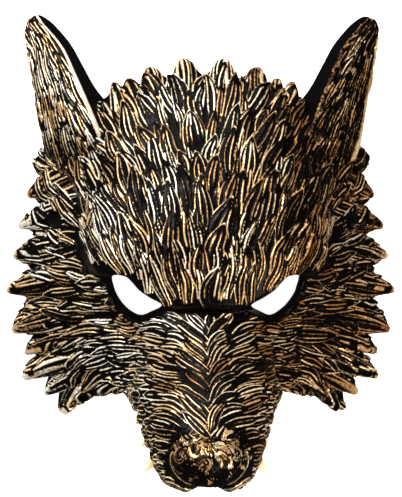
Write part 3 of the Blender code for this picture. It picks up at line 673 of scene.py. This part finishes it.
def add_forehead_middle(surface, on_brow, flow, rng):
    """The forehead's locks on its centre line, from the brow up to the crown."""
    middle = HALF_COLUMNS - 1
    lock = LOCKS["forehead"]
    rows = np.flatnonzero(on_brow[:, middle])
    step = lock["row"] / np.linalg.norm(surface.down[rows, middle], axis=1).mean()
    for i in np.arange(rows.max(), 30, -0.8 * step):
        start = middle + rng.uniform(-5, 5)
        lean = math.radians(rng.normal(0, 5))
        track = surface.spine(i, start, flow, 0.030, lean, WAVE)
        surface.add_lock(track, lock, rng, lift=0.9)


def fur_regions(surface, row, share, brow, nose):
    """Where the forehead's fur is, and each kind of lock with the region of its roots and its
    flow, in the order in which they are stamped."""
    x, y = np.abs(surface.grid[..., 0]), surface.grid[..., 1]
    on_brow = (brow > -0.001) & (row < BROW_LAST)
    on_muzzle = ~on_brow & (row > MUZZLE_FIRST) & (x < MUZZLE_HALF)
    on_cheek = ~on_brow & ~on_muzzle
    on_lip = on_muzzle & ~nose & np.any([(row > first) & (x > edge) for first, edge in LIP_EDGES], axis=0)
    along_nose = on_muzzle & ~nose & ~on_lip & (x > CENTRE_STRIP)
    low = on_brow & (y < BROW_LOW_Y)
    fringe = low & (brow > BROW_ROOTS[0]) & (brow < BROW_ROOTS[1])
    high = on_brow & (row > 0.9) & ~fringe & ~(low & (brow <= BROW_ROOTS[0]))
    return on_brow, (
        ("lip", on_lip, "muzzle"),
        ("muzzle", along_nose, "muzzle"),
        ("cheek_wisp", on_cheek & (share < CHEEK_END), "cheek"),
        ("cheek", on_cheek & (share < np.where(row < 5, 0.82, 0.74)), "cheek"),
        ("forehead_wisp", high, "forehead"),
        ("forehead", high, "forehead"),
        ("brow", fringe, "forehead"),
    )


def add_fur(surface, at, share, brow, nose, rng):
    """All the locks of the face."""
    row = at[:, None]
    flows = {
        "forehead": flow_field(FOREHEAD_FLOW),
        "cheek": flow_field(CHEEK_FLOW),
        "muzzle": flow_field(MUZZLE_FLOW),
    }
    on_brow, regions = fur_regions(surface, row, share, brow, nose)
    under_brow = (brow > -0.0005) & (row < BROW_LAST) & (surface.grid[..., 1] < BROW_LOW_Y)
    for kind, region, flow in regions:
        lock = LOCKS[kind]
        stop = None if flow == "forehead" else under_brow
        for i, j in scatter(surface, region, lock, rng):
            lean = rng.normal(0, math.radians(6))
            length = lock["length"] * rng.uniform(0.75, 1.25)
            wave = WAVE * rng.choice([-1, 1]) * rng.uniform(0.4, 1.2)
            track = surface.spine(i, j, flows[flow], length, lean, wave, stop)
            surface.add_lock(track, lock, rng, root=-0.3 if kind == "brow" else 0.0)
    add_forehead_middle(surface, on_brow, flows["forehead"], rng)
    add_muzzle_middle(surface, flows["muzzle"], under_brow, rng)
    add_side_tufts(surface, at, rng)
    add_crown_tufts(surface, at, rng)


def build_face():
    """The face's fine surface with its fur, and the section of each of its rows."""
    rng = np.random.default_rng(SEED)
    at = even_rows(GRID_STEP)
    ends = rim_shares(at)
    share = np.linspace(0, 1, HALF_COLUMNS)[None, :] * ends[:, None]
    half = add_features(face_curves(at, HALF_COLUMNS, ends), at, share, fine=True)
    half[:, 0, 0] = 0
    half[..., 2] = np.maximum(half[..., 2], 0)
    surface = Surface(mirrored(half))
    share = np.concatenate([share[:, :0:-1], share], axis=1)
    brow = brow_distance(surface.grid[..., 0], surface.grid[..., 1])
    nose = np.linalg.norm((surface.grid - nose_centre()) / (NOSE_SIZE / 2), axis=2) < NOSE_END
    add_fur(surface, at, share, brow, nose, rng)
    clear_smooth_parts(surface, brow, nose)
    add_nose(surface, nose, rng)
    return surface, at


def clear_smooth_parts(surface, brow, nose):
    """Takes the fur off the bands round the eyes and off the nose, fades the brow's lower edge, and paints
    shade onto the right-hand side, which turns darker and browner."""
    x, y = surface.grid[..., 0], surface.grid[..., 1]
    to_eye = -np.maximum(*(polygon_distance(x, y, eye_polygon(side)) for side in (1, -1)))
    left = np.where(brow > 0.0005, 1.0, smooth((to_eye - EYE_BAND + 0.001) / 0.0015))
    under_brow = (brow <= 0) & (np.abs(x) < BROW_MIDDLE) & (y < 0)
    left = np.where(under_brow, np.minimum(left, smooth((-brow - 0.0005) / 0.002)), left)
    left = np.where(nose, 0.0, left)
    surface.height *= left
    surface.gold *= left
    surface.top *= np.where(nose, 0.0, 1.0)
    low = (brow > 0) & (y < 0)
    fade = 0.45 + 0.55 * smooth((brow - 0.0005) / 0.005)
    surface.gold *= np.where(low & (np.abs(x) < 0.017), fade, 1.0)
    surface.tone *= np.where(low & (np.abs(x) < BROW_MIDDLE), 0.2 + 0.8 * smooth(brow / 0.006), 1.0)
    # Painted shade: darker, browner tone and a little less gold towards the right-hand side, away from the
    # key light.
    surface.tone = 0.80 * surface.tone - 0.48 * smooth(0.5 + x / 0.14) + 0.36
    surface.gold *= 1 - 0.08 * smooth(x / 0.06)


def add_nose(surface, nose, rng):
    """Curly strands in thin gold over the nose's top, and a painted highlight round its lower edge: a gold
    line on a slight raised rim.
    """
    lock = LOCKS["nose"]
    offset = (surface.grid - nose_centre()) / (NOSE_SIZE / 2)
    top = nose & (offset[..., 1] > -0.85) & (np.abs(offset[..., 0]) < 0.95)
    spread = np.exp(-((offset[..., 0] / 1.05) ** 2) - ((offset[..., 1] - 0.35) / 1.05) ** 2)
    surface.gold = np.where(nose, 0.46 * spread, surface.gold)
    surface.tone = np.where(nose, 0.05, surface.tone)
    for i, j in scatter(surface, top, lock, rng):
        bright = 1.2 * spread[int(i), int(j)] * rng.uniform(0.6, 1.2)
        turn = rng.uniform(0, 2 * math.pi)
        length = lock["length"] * rng.uniform(0.6, 1.2)
        track = surface.spine(i, j, lambda _x, _y: turn, length, 0.0, 3 * WAVE)
        surface.add_lock(track, lock, rng, tone=rng.uniform(0.1, 0.7), bright=bright)
    surface.height *= np.where(nose, 0.25, 1.0)
    size = np.linalg.norm(offset, axis=2)
    # Painted highlight: a gold line round the nose's lower edge, where the rim catches the light; the height
    # below also raises it a little.
    line = np.exp(-(((size - 1.03) / 0.022) ** 2)) * (offset[..., 1] < 0.35) * (offset[..., 2] > -0.15)
    surface.gold = np.maximum(surface.gold, 0.85 * line)
    surface.height += 0.0004 * line


def new_object(name, data):
    """An object in the scene."""
    obj = bpy.data.objects.new(name, data)
    bpy.context.scene.collection.objects.link(obj)
    return obj


def grid_mesh(name, grid, normals, keep, layers, material):
    """An object from the kept faces of a grid, with the grid's normals and colour layers."""
    rows, columns = grid.shape[:2]
    index = np.arange(rows * columns).reshape(rows, columns)
    quads = np.stack([index[:-1, :-1], index[1:, :-1], index[1:, 1:], index[:-1, 1:]], axis=-1)[keep]
    used, faces = np.unique(quads, return_inverse=True)
    faces = faces.reshape(-1, 4)
    mesh = bpy.data.meshes.new(name)
    mesh.vertices.add(len(used))
    mesh.vertices.foreach_set("co", grid.reshape(-1, 3)[used].astype(np.float32).ravel())
    mesh.loops.add(faces.size)
    mesh.loops.foreach_set("vertex_index", faces.astype(np.int32).ravel())
    mesh.polygons.add(len(faces))
    mesh.polygons.foreach_set("loop_start", np.arange(0, faces.size, 4, dtype=np.int32))
    mesh.update(calc_edges=True)
    mesh.validate()
    mesh.polygons.foreach_set("use_smooth", np.ones(len(mesh.polygons), bool))
    mesh.normals_split_custom_set_from_vertices(normals.reshape(-1, 3)[used].tolist())
    for layer, values in layers.items():
        made = mesh.attributes.new(layer, "FLOAT", "POINT")
        made.data.foreach_set("value", values.reshape(-1)[used].astype(np.float32))
    mesh.materials.append(material)
    return new_object(name, mesh)


def eye_polygon(side):
    """The outline of an eye hole as a smooth closed polygon."""
    table = np.array(EYE_OUTLINE) * (EYE_WIDTH, EYE_HEIGHT)
    count = len(table)
    ring = np.vstack([table[-1:], table, table[:2]])
    points = through_rows(ring, np.linspace(1, 1 + count, 12 * count, endpoint=False))
    return (points + (EYE_SPACING / 2, EYE_Y * FACE_LENGTH)) * (side, 1)


def strap_frame(side):
    """Centre of a strap hole on the bare surface, and the matrix to its own axes."""
    rows = np.array([STRAP_AT[0] - 0.1, STRAP_AT[0], STRAP_AT[0] + 0.1])
    centre = face_curves(rows, 201)[1, int(round(STRAP_AT[1] * 200))]
    tilt = STRAP_HOLE_TILT * side
    axes = np.array([[math.cos(tilt), 0, -math.sin(tilt)], [0, 1, 0], [math.sin(tilt), 0, math.cos(tilt)]])
    return centre * (side, 1, 1), axes


def strap_outline():
    """Outline of a strap hole across its own axis, a slot with round ends."""
    radius = STRAP_HOLE_WIDTH / 2
    straight = (STRAP_HOLE_LENGTH - STRAP_HOLE_WIDTH) / 2
    turn = np.linspace(0, 2 * math.pi, 48, endpoint=False)
    x = radius * np.cos(turn)
    y = radius * np.sin(turn) + straight * np.sign(np.sin(turn))
    return np.stack([x, y], axis=-1)


def cut_hole(grid, keep, polygon, local, back, limit):
    """Drops the faces that reach into a hole from keep and moves the grid's new edge onto the
    hole's outline. local maps points to the hole's own axes and back maps them home."""
    near = local(grid)
    inside = (polygon_distance(near[..., 0], near[..., 1], polygon) > 0) & (np.abs(near[..., 2]) < limit)
    touched = inside[:-1, :-1] | inside[1:, :-1] | inside[1:, 1:] | inside[:-1, 1:]
    keep &= ~touched
    edge = np.zeros(inside.shape, bool)
    for di in (0, 1):
        for dj in (0, 1):
            edge[di : di + touched.shape[0], dj : dj + touched.shape[1]] |= touched
    edge &= ~inside
    spots = near[edge]
    spots[:, :2], _away = nearest_on(polygon, spots[:, 0], spots[:, 1])
    grid[edge] = back(spots)


def hole_wall(front, back_depth, polygon, local, back, limit):
    """The wall of a hole from the front surface inwards, as a grid round its outline."""
    near = local(front).reshape(-1, 3)
    near = near[np.abs(near[:, 2]) < limit]
    depth = []
    for corner in polygon:
        away = np.hypot(near[:, 0] - corner[0], near[:, 1] - corner[1])
        depth.append(near[away.argmin(), 2])
    depth = np.array(depth)
    depth = np.convolve(np.concatenate([depth[-2:], depth, depth[:2]]), np.ones(5) / 5, "valid")
    steps = np.linspace(0, 1, HOLE_RINGS)[:, None]
    ring = np.zeros((HOLE_RINGS, len(polygon) + 1, 3))
    closed = np.vstack([polygon, polygon[:1]])
    ring[..., :2] = closed[None]
    ring[..., 2] = np.append(depth, depth[0])[None] - 0.0001 - steps * back_depth
    return back(ring)


def eased(values, rounds):
    """Values of a grid eased towards their neighbours."""
    for _ in range(rounds):
        inner = values.copy()
        inner[1:-1] = (values[:-2] + 2 * values[1:-1] + values[2:]) / 4
        values = inner.copy()
        values[:, 1:-1] = (inner[:, :-2] + 2 * inner[:, 1:-1] + inner[:, 2:]) / 4
    return values


def wall_thickness(at, share):
    """WALL all over, thin at the tips of the tufts and thick at the lips."""
    edge = smooth((share - 0.8) / 0.2)
    lips = smooth((at - 13.2) / 1.3)
    thin = WALL + (TIP_WALL - WALL) * edge * (1 - lips)
    low = np.maximum(edge, smooth((at - 18.4) / 1.6))
    return thin + (LIP_WALL - WALL) * lips * low


def back_half():
    """The inner side of the right half of the face."""
    at = np.linspace(0, len(SECTIONS) - 1, BACK_ROWS)
    ends = rim_shares(at)
    share = np.linspace(0, 1, BACK_COLUMNS)[None, :] * ends[:, None]
    curves = face_curves(at, BACK_COLUMNS, ends)
    plain = add_features(curves, at, share, fine=False)
    normals = eased(grid_normals(curves), 30)
    normals[:, 0, 0] = 0
    normals /= np.linalg.norm(normals, axis=2, keepdims=True)
    centre, _axes = strap_frame(1)
    away = np.linalg.norm(plain - centre, axis=2)
    boss = STRAP_BOSS_HEIGHT * (1 - smooth((away / (STRAP_BOSS_WIDTH / 2) - 0.5) / 0.8))
    grid = plain - normals * (wall_thickness(at[:, None], share) + boss)[..., None]
    grid[:, 0, 0] = 0
    grid[..., 2] = np.maximum(grid[..., 2], 0)
    return at, grid


def place(obj, node=SHELL):
    """Gives a piece its body and hides the CAD node that it stands for."""
    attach(obj, BODY)
    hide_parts(node)


def all_faces(grid):
    """A mark for each face of a grid."""
    return np.ones((grid.shape[0] - 1, grid.shape[1] - 1), bool)


def sheet(name, grid, material, keep=None, layers=None, normals=None, node=SHELL):
    """One piece of the mask from a grid of points whose rows and columns turn anticlockwise."""
    keep = all_faces(grid) if keep is None else keep
    normals = grid_normals(grid) if normals is None else normals
    place(grid_mesh(name, grid + ORIGIN_SHIFT, normals, keep, layers or {}, material), node)


def ear_curves(rows, front_steps, flank_steps):
    """The ear's outer surface from its tip to its root, and from its inner edge over the crest to
    its outer edge."""
    table = through_rows(EAR_SECTIONS, np.linspace(len(EAR_SECTIONS) - 1, 0, rows))
    corner = EAR_CORNER * (FACE_WIDTH / 2, FACE_LENGTH, FACE_DEPTH)
    outer, crest, inner = (corner + table[:, k : k + 3] * EAR_SIZE for k in (0, 3, 6))
    front = np.linspace(0, 1, front_steps + 1)[None, :, None]
    flank = np.linspace(0, 1, flank_steps + 1)[None, 1:, None]
    face = outer[:, None] * (1 - front) + crest[:, None] * front
    width = np.linalg.norm(crest - outer, axis=1)[:, None]
    face[..., 2] += EAR_BULGE * width * np.sin(math.pi * front[..., 0])
    side = crest[:, None] * (1 - flank) + inner[:, None] * flank
    return np.concatenate([face, side], axis=1)[:, ::-1]


def rounded_crest(grid):
    """An ear's surface with its crest eased to a round edge."""
    near = slice(EAR_FLANK - 5, EAR_FLANK + 6)
    for _ in range(14):
        band = grid[:, near].copy()
        band[:, 1:-1] = (band[:, :-2] + 2 * band[:, 1:-1] + band[:, 2:]) / 4
        grid[:, near] = band
    return grid


def add_ear_fur(surface, side, looks, rng):
    """The fine fur on an ear's face."""
    flow = flow_field(EAR_FLOW)
    lock = LOCKS["ear"]
    count = surface.top.shape[1]
    first, last = (EAR_FLANK + 4, count - 2) if side > 0 else (1, EAR_FRONT - 3)
    row_step = lock["row"] / np.linalg.norm(surface.down, axis=2).mean()
    for i in np.arange(EAR_ROWS - 4, 6, -row_step):
        column_step = lock["column"] / np.linalg.norm(surface.across[int(i), first:last], axis=1).mean()
        # Painted shade: the side's fur and tone values paint the right ear's fur dimmer and browner than the
        # left's.
        bright = (0.62 + 0.42 * smooth(i / EAR_ROWS * 2.2 - 0.4)) * looks["fur"]
        for j in np.arange(first, last, column_step):
            j = j + rng.uniform(-0.4, 0.4) * column_step
            if not 2 <= j < count - 3:
                continue
            length = lock["length"] * rng.uniform(0.75, 1.25)
            row = min(i + rng.uniform(-0.4, 0.3) * row_step, EAR_ROWS - 3)
            lean = rng.normal(0, math.radians(3))
            track = surface.spine(row, j, flow, length, lean, 0.4 * WAVE)
            surface.add_lock(track, lock, rng, tone=rng.uniform(*looks["tone"]), bright=bright)


def add_ear_gold(surface, to_crest, looks):
    """The raised crest, the band along the outer edge and the tip in gold, with each side's light painted
    into them, and the bare flank.
    """
    down = np.linspace(0, 1, EAR_ROWS)[:, None]
    crest = np.exp(-(((to_crest - 1.5) / (2.5 + 1.5 * down)) ** 2))
    band = np.exp(-(((EAR_FRONT - to_crest - 4) / 5.0) ** 2)) * smooth((down - 0.12) / 0.2)
    tip = 1 - smooth((down - 0.02) / 0.08)
    surface.height += 0.0010 * crest * smooth(down / 0.08) + 0.0006 * band
    surface.height *= np.where(to_crest < 0, np.exp(-((to_crest / 4.0) ** 2)), 1.0)
    # Painted light: the gold crest is painted brighter on the left ear, and the outer edge band is a painted
    # highlight on the right one.
    surface.gold = np.maximum(surface.gold * (to_crest > 2), looks["crest"] * crest)
    surface.gold = np.maximum(surface.gold, looks["edge"] * band)
    surface.gold = np.maximum(surface.gold, 0.9 * tip * (to_crest > -2))


def ear_pieces(side, word, face, lacquer, fur, rng):
    """One ear: its fur-covered face with the gold crest, its smooth flank, and its open back."""
    grid = rounded_crest(ear_curves(EAR_ROWS, EAR_FRONT, EAR_FLANK))
    surface = Surface(grid if side > 0 else (grid * (-1, 1, 1))[:, ::-1])
    to_crest = (np.arange(grid.shape[1]) - EAR_FLANK)[::side]
    add_ear_fur(surface, side, EAR_GOLD_AND_PAINTED_LIGHT[word], rng)
    add_ear_gold(surface, to_crest, EAR_GOLD_AND_PAINTED_LIGHT[word])
    shape = surface.grid + surface.normals * surface.height[..., None]
    layers = {"gold": surface.gold, "tone": surface.tone}
    sheet("ear_" + word, shape, fur, ear_keep(shape, face), layers)
    base = surface.grid[::5, ::4]
    wall = EAR_TIP_WALL + (EAR_WALL - EAR_TIP_WALL) * smooth(np.linspace(0, 1, base.shape[0]) / 0.35)
    inner = base - eased(grid_normals(base), 3) * wall[:, None, None]
    sheet("ear_inside_" + word, inner[:, ::-1], lacquer, ear_keep(inner, face)[:, ::-1])
    rows = np.linspace(0, EAR_ROWS - 1, inner.shape[0])
    for j, part in ((0, "a"), (-1, "b")):
        behind = read_line(inner[:, j], rows, np.arange(EAR_ROWS))
        strip = rounded(shape[:, j], behind)
        kept = np.repeat(ear_keep(np.stack([shape[:, j], behind]), face), 3, axis=0)
        turn = -1 if j else 1
        sheet(f"ear_edge_{part}_{word}", strip[:, ::turn], lacquer, kept[:, ::turn])
    columns = np.linspace(0, shape.shape[1] - 1, inner.shape[1])
    behind = read_line(inner[0], columns, np.arange(shape.shape[1]))
    sheet("ear_tip_" + word, rounded(shape[0], behind)[:, ::-1], lacquer)


def rounded(front, back):
    """A strip from a front edge to a back edge in three steps."""
    return np.stack([front, front * 0.67 + back * 0.33, front * 0.33 + back * 0.67, back])


def ear_keep(grid, face):
    """The faces of an ear that don't lie under the middle of the face's wall."""
    tree, normals = face
    buried = np.zeros(grid.shape[:2], bool)
    for i in range(grid.shape[0]):
        for j in range(grid.shape[1]):
            if grid[i, j, 1] > EAR_CLEAR_Y:
                continue
            spot, index, _distance = tree.find(grid[i, j])
            buried[i, j] = (grid[i, j] - np.array(spot)) @ normals[index] < -WALL / 2
    return ~(buried[:-1, :-1] & buried[1:, :-1] & buried[1:, 1:] & buried[:-1, 1:])


def lip_frame(at):
    """The middle of the lip's edge at a section, the way out of it, and the face's normal there."""
    rows = np.array([at - 0.1, at, at + 0.1])
    share = np.linspace(0, 1, 201)
    curves = face_curves(rows, len(share))
    edge = curves[1, -1]
    normal = grid_normals(curves)[1, -1]
    down = np.cross(normal, curves[2, -1] - curves[0, -1])
    down *= math.copysign(1, down @ (edge - curves[1, -12]))
    down /= np.linalg.norm(down)
    return edge - normal * wall_thickness(rows[:, None], share[None, :])[1, -1] / 2, down, normal


def tooth(name, side, at, size, material):
    """A curved cone whose root meets the edge of the lip, with fine lengthwise ridges."""
    length, diameter = size
    middle, down, normal = lip_frame(at)
    aim = down * math.cos(TOOTH_SPLAY) + normal * math.sin(TOOTH_SPLAY)
    start = middle + down * (TOOTH_GAP + diameter / 2 * math.sin(TOOTH_SPLAY))
    along = np.linspace(0, 1, TOOTH_RINGS)[:, None]
    path = start + aim * length * along - normal * 0.12 * length * along**2
    radius = diameter / 2 * np.maximum(0.05, np.cos(along[:, 0] * math.pi / 2) ** 0.8)
    radius[0] *= 0.6
    turn = np.linspace(0, 2 * math.pi, TOOTH_SIDES + 1)
    first = np.cross(aim, normal)
    first /= np.linalg.norm(first)
    second = np.cross(aim, first)
    wavy = 1 + 0.02 * np.cos(7 * turn) * smooth(along * 3)
    circle = np.cos(turn)[None, :, None] * first + np.sin(turn)[None, :, None] * second
    cone = path[:, None] + circle * (radius[:, None] * wavy)[..., None]
    root, tip = (np.repeat(end[None], len(turn), axis=1) for end in (path[:1], path[-1:]))
    cone = np.concatenate([root, cone, tip]) * (side, 1, 1)
    cone = cone if side < 0 else cone[:, ::-1]
    normals = grid_normals(cone)
    normals[0], normals[-1] = -aim * (side, 1, 1), aim * (side, 1, 1)
    layers = {"along": np.repeat(np.linspace(0, 1, len(cone))[:, None], len(turn), axis=1)}
    sheet(name + "_tooth", cone, material, None, layers, normals, name)


class Paint:
    """A material, with short calls for the nodes that it is made of."""

    def __init__(self, name):
        self.material = bpy.data.materials.new(name)
        self.material.use_nodes = True
        self.nodes = self.material.node_tree.nodes
        self.shader = self.nodes["Principled BSDF"]

    def feed(self, node, inputs):
        """Gives a node's inputs plain values or other nodes' outputs."""
        for name, value in inputs.items():
            if isinstance(value, bpy.types.NodeSocket):
                self.material.node_tree.links.new(value, node.inputs[name])
            else:
                node.inputs[name].default_value = value

    def set(self, inputs):
        """Gives the shader's own sockets their values or sources."""
        self.feed(self.shader, inputs)
        return self.material

    def layer(self, name):
        """A layer of values that the meshes carry."""
        made = self.nodes.new("ShaderNodeAttribute")
        made.attribute_name = name
        return made.outputs["Fac"]

    def noise(self, scale, detail, roughness):
        """A noise over the model's own coordinates."""
        spot = self.nodes.new("ShaderNodeTexCoord").outputs["Object"]
        made = self.nodes.new("ShaderNodeTexNoise")
        self.feed(made, {"Vector": spot, "Scale": scale, "Detail": detail, "Roughness": roughness})
        return made.outputs["Fac"]

    def maths(self, operation, a, b):
        """A sum, difference or product of two values."""
        made = self.nodes.new("ShaderNodeMath")
        made.operation = operation
        self.feed(made, {0: a, 1: b})
        return made.outputs["Value"]

    def ramp(self, source, *stops):
        """A ramp whose stops have a position and a colour, or a position and a grey."""
        made = self.nodes.new("ShaderNodeValToRGB")
        elements = made.color_ramp.elements
        while len(elements) < len(stops):
            elements.new(0.5)
        for element, (position, colour) in zip(elements, stops):
            element.position = position
            element.color = (*colour, 1.0) if isinstance(colour, tuple) else (colour, colour, colour, 1.0)
        self.feed(made, {"Fac": source})
        return made.outputs["Color"]

    def mix(self, share, first, second):
        """A colour between two others."""
        made = self.nodes.new("ShaderNodeMix")
        made.data_type = "RGBA"
        self.feed(made, {"Factor": share, 6: first, 7: second})
        return made.outputs[2]

    def bump(self, height, strength, distance):
        """Fine relief."""
        made = self.nodes.new("ShaderNodeBump")
        self.feed(made, {"Height": height, "Strength": strength, "Distance": distance})
        return made.outputs["Normal"]


def fur_material():
    """Black lacquer with dry-brushed gold on the ridges, streaked with bronze and orange-brown."""
    paint = Paint("brushed_fur")
    streak = paint.noise(520.0, 5.0, 0.7)
    patch = paint.noise(26.0, 3.0, 0.6)
    wear = paint.maths("MULTIPLY", paint.maths("SUBTRACT", streak, 0.5), 0.8)
    # The gold layer holds the brushed gold together with the painted highlight on the nose and the painted
    # light on the ears; the tone layer holds random tone and the painted shade on the right-hand side.
    amount = paint.maths("ADD", paint.layer("gold"), wear)
    cover = paint.ramp(amount, (0.40, 0.0), (0.66, 1.0))
    thick = paint.maths("MULTIPLY", paint.maths("SUBTRACT", amount, 0.80), 0.55)
    hue = paint.maths("MULTIPLY", paint.layer("tone"), 0.45)
    hue = paint.maths("ADD", hue, paint.maths("MULTIPLY", patch, 0.8))
    gold = paint.ramp(
        paint.maths("ADD", hue, thick),
        (0.25, (0.30, 0.13, 0.045)),
        (0.42, (0.56, 0.33, 0.14)),
        (0.60, (0.80, 0.61, 0.36)),
        (0.82, (0.95, 0.88, 0.75)),
    )
    return paint.set({
        "Base Color": paint.mix(cover, (0.0016, 0.0012, 0.0011, 1), gold),
        "Metallic": paint.maths("MULTIPLY", cover, 0.55),
        "Roughness": paint.ramp(streak, (0.3, 0.22), (0.7, 0.36)),
        "Specular IOR Level": 0.045,
        "Normal": paint.bump(streak, 0.35, 0.0006),
    })


def lacquer_material():
    """Plain black lacquer with a faint orange peel, as on the flanks and the inner side."""
    paint = Paint("black_lacquer")
    grain = paint.noise(300.0, 4.0, 0.6)
    cloud = paint.noise(30.0, 3.0, 0.6)
    return paint.set({
        "Base Color": paint.ramp(cloud, (0.3, (0.0018, 0.0018, 0.0022)), (0.7, (0.004, 0.0038, 0.0038))),
        "Roughness": paint.ramp(grain, (0.3, 0.28), (0.7, 0.44)),
        "Specular IOR Level": 0.10,
        "Normal": paint.bump(grain, 0.2, 0.0005),
    })


def ivory_material():
    """Cream teeth, darker and browner at the root."""
    paint = Paint("ivory")
    grain = paint.noise(260.0, 4.0, 0.6)
    stain = paint.maths("MULTIPLY", paint.maths("SUBTRACT", grain, 0.5), 0.5)
    shade = paint.maths("ADD", paint.layer("along"), stain)
    return paint.set({
        "Base Color": paint.ramp(
            shade, (0.0, (0.42, 0.27, 0.11)), (0.3, (0.74, 0.60, 0.34)), (0.9, (0.90, 0.82, 0.60)),
        ),
        "Roughness": paint.ramp(grain, (0.3, 0.32), (0.7, 0.46)),
        "Subsurface Weight": 0.1,
        "Subsurface Radius": (0.004, 0.003, 0.002),
    })


def add_floor():
    """The white floor, lit from within so that the ground stays plain."""
    material = Paint("studio_floor").set({
        "Base Color": (0.8, 0.8, 0.8, 1),
        "Roughness": 0.9,
        "Emission Color": (1, 1, 1, 1),
        "Emission Strength": 1.0,
    })
    corners = [(x * FLOOR_SIDE, y * FLOOR_SIDE, -FLOOR_GAP) for x, y in ((-1, -1), (1, -1), (1, 1), (-1, 1))]
    mesh = bpy.data.meshes.new("floor")
    mesh.from_pydata(corners, [], [(0, 1, 2, 3)])
    mesh.materials.append(material)
    floor = new_object("floor", mesh)
    floor.visible_glossy = False


def add_light(name, place_at, aim, size, energy, colour=(1, 1, 1)):
    """A round soft light that looks at a point."""
    light = bpy.data.lights.new(name, "AREA")
    light.shape = "DISK"
    light.size = size
    light.energy = energy
    light.color = colour
    obj = new_object(name, light)
    obj.location = place_at
    obj.rotation_euler = (Vector(aim) - Vector(place_at)).to_track_quat("-Z", "Y").to_euler()


def add_studio():
    """The floor, the cool key light, the warm fill from the lower right, and a weak top light."""
    add_floor()
    add_light("key", (-0.75, 0.75, 1.10), (0, 0, 0.03), 0.40, 42.0)
    add_light("fill", (0.80, -0.75, 0.95), (0, 0, 0.03), 0.45, 23.0, (1.0, 0.87, 0.72))
    add_light("top", (0.0, 0.9, 0.55), (0, 0, 0.05), 0.35, 5.0)
    world = bpy.data.worlds.new("studio")
    world.use_nodes = True
    background = world.node_tree.nodes["Background"]
    background.inputs["Color"].default_value = (1, 1, 1, 1)
    background.inputs["Strength"].default_value = 0.06
    bpy.context.scene.world = world
    bpy.context.scene.view_settings.view_transform = "Standard"


def add_camera():
    """The camera, straight above the mask and turned a little to its left."""
    camera = bpy.data.cameras.new("camera")
    camera.lens = SENSOR * CAMERA_DISTANCE / (PIXEL * PICTURE_HEIGHT)
    camera.sensor_width = SENSOR
    camera.clip_start = 0.05
    obj = new_object("camera", camera)
    obj.location = (-CAMERA_DISTANCE * math.sin(CAMERA_YAW), 0, CAMERA_DISTANCE * math.cos(CAMERA_YAW))
    obj.rotation_euler = (0, -CAMERA_YAW, 0)
    bpy.context.scene.camera = obj


def holes(side):
    """The eye hole and the strap hole of a side: name, outline, maps to its own axes and home, how
    far it reaches from its centre, and the depth of its wall."""
    centre, axes = strap_frame(side)

    def to_own(points):
        return (points - centre) @ axes.T

    def to_home(points):
        return points @ axes + centre

    return (
        ("eye_wall_", eye_polygon(side), np.copy, np.copy, 1.0, EYE_WALL_DEPTH),
        ("strap_wall_", strap_outline(), to_own, to_home, 0.020, STRAP_WALL_DEPTH),
    )


def face_tree(surface):
    """The face's bare surface as a search tree, and its normals in the same order."""
    points = surface.grid[::3, ::3].reshape(-1, 3)
    tree = KDTree(len(points))
    for index, point in enumerate(points):
        tree.insert(point, index)
    tree.balance()
    return tree, surface.normals[::3, ::3].reshape(-1, 3)


def face_pieces(surface, at, fur, lacquer):
    """The face: the walls of its holes, its front in bands, its inner side and its rims."""
    front = surface.grid + surface.normals * surface.height[..., None]
    front[..., 2] = np.maximum(front[..., 2], 0)
    normals = grid_normals(front)
    back_at, back = back_half()
    back = mirrored(back)
    keep, back_keep = all_faces(front), all_faces(back)
    for side, word in SIDES:
        for name, outline, local, home, limit, depth in holes(side):
            wall = hole_wall(front, depth, outline, local, home, limit)
            cut_hole(front, keep, outline, local, home, limit)
            cut_hole(back, back_keep, outline, local, home, limit)
            turned = wall if side > 0 or name == "strap_wall_" else wall[:, ::-1]
            sheet(name + word, turned, lacquer)
    cuts = np.linspace(0, front.shape[0] - 1, len(BANDS) + 1).astype(int)
    for name, start, end in zip(BANDS, cuts[:-1], cuts[1:]):
        rows = slice(start, end + 1)
        layers = {"gold": surface.gold[rows], "tone": surface.tone[rows]}
        sheet(name, front[rows], fur, keep[start:end], layers, normals[rows])
    sheet("inner_side", back[:, ::-1], lacquer, back_keep[:, ::-1])
    for j, name, turn in ((-1, "rim_right", -1), (0, "rim_left", 1)):
        strip = rounded(front[:, j], read_line(back[:, j], back_at, at))
        sheet(name, strip[:, ::turn], lacquer)
    columns = np.linspace(0, front.shape[1] - 1, back.shape[1])
    for i, name, turn in ((0, "rim_crown", -1), (-1, "rim_lip", 1)):
        strip = rounded(front[i], read_line(back[i], columns, np.arange(front.shape[1])))
        sheet(name, strip[:, ::turn], lacquer)


def main():
    """All the pieces, the studio and the camera."""
    rng = np.random.default_rng(SEED + 1)
    fur, lacquer, ivory = fur_material(), lacquer_material(), ivory_material()
    surface, at = build_face()
    face_pieces(surface, at, fur, lacquer)
    tree = face_tree(surface)
    for side, word in SIDES:
        ear_pieces(side, word, tree, lacquer, fur, rng)
        for name, place_at, size in TEETH:
            tooth(f"{name}_{word}", side, place_at, size, ivory)
    add_studio()
    add_camera()


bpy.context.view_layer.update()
main()
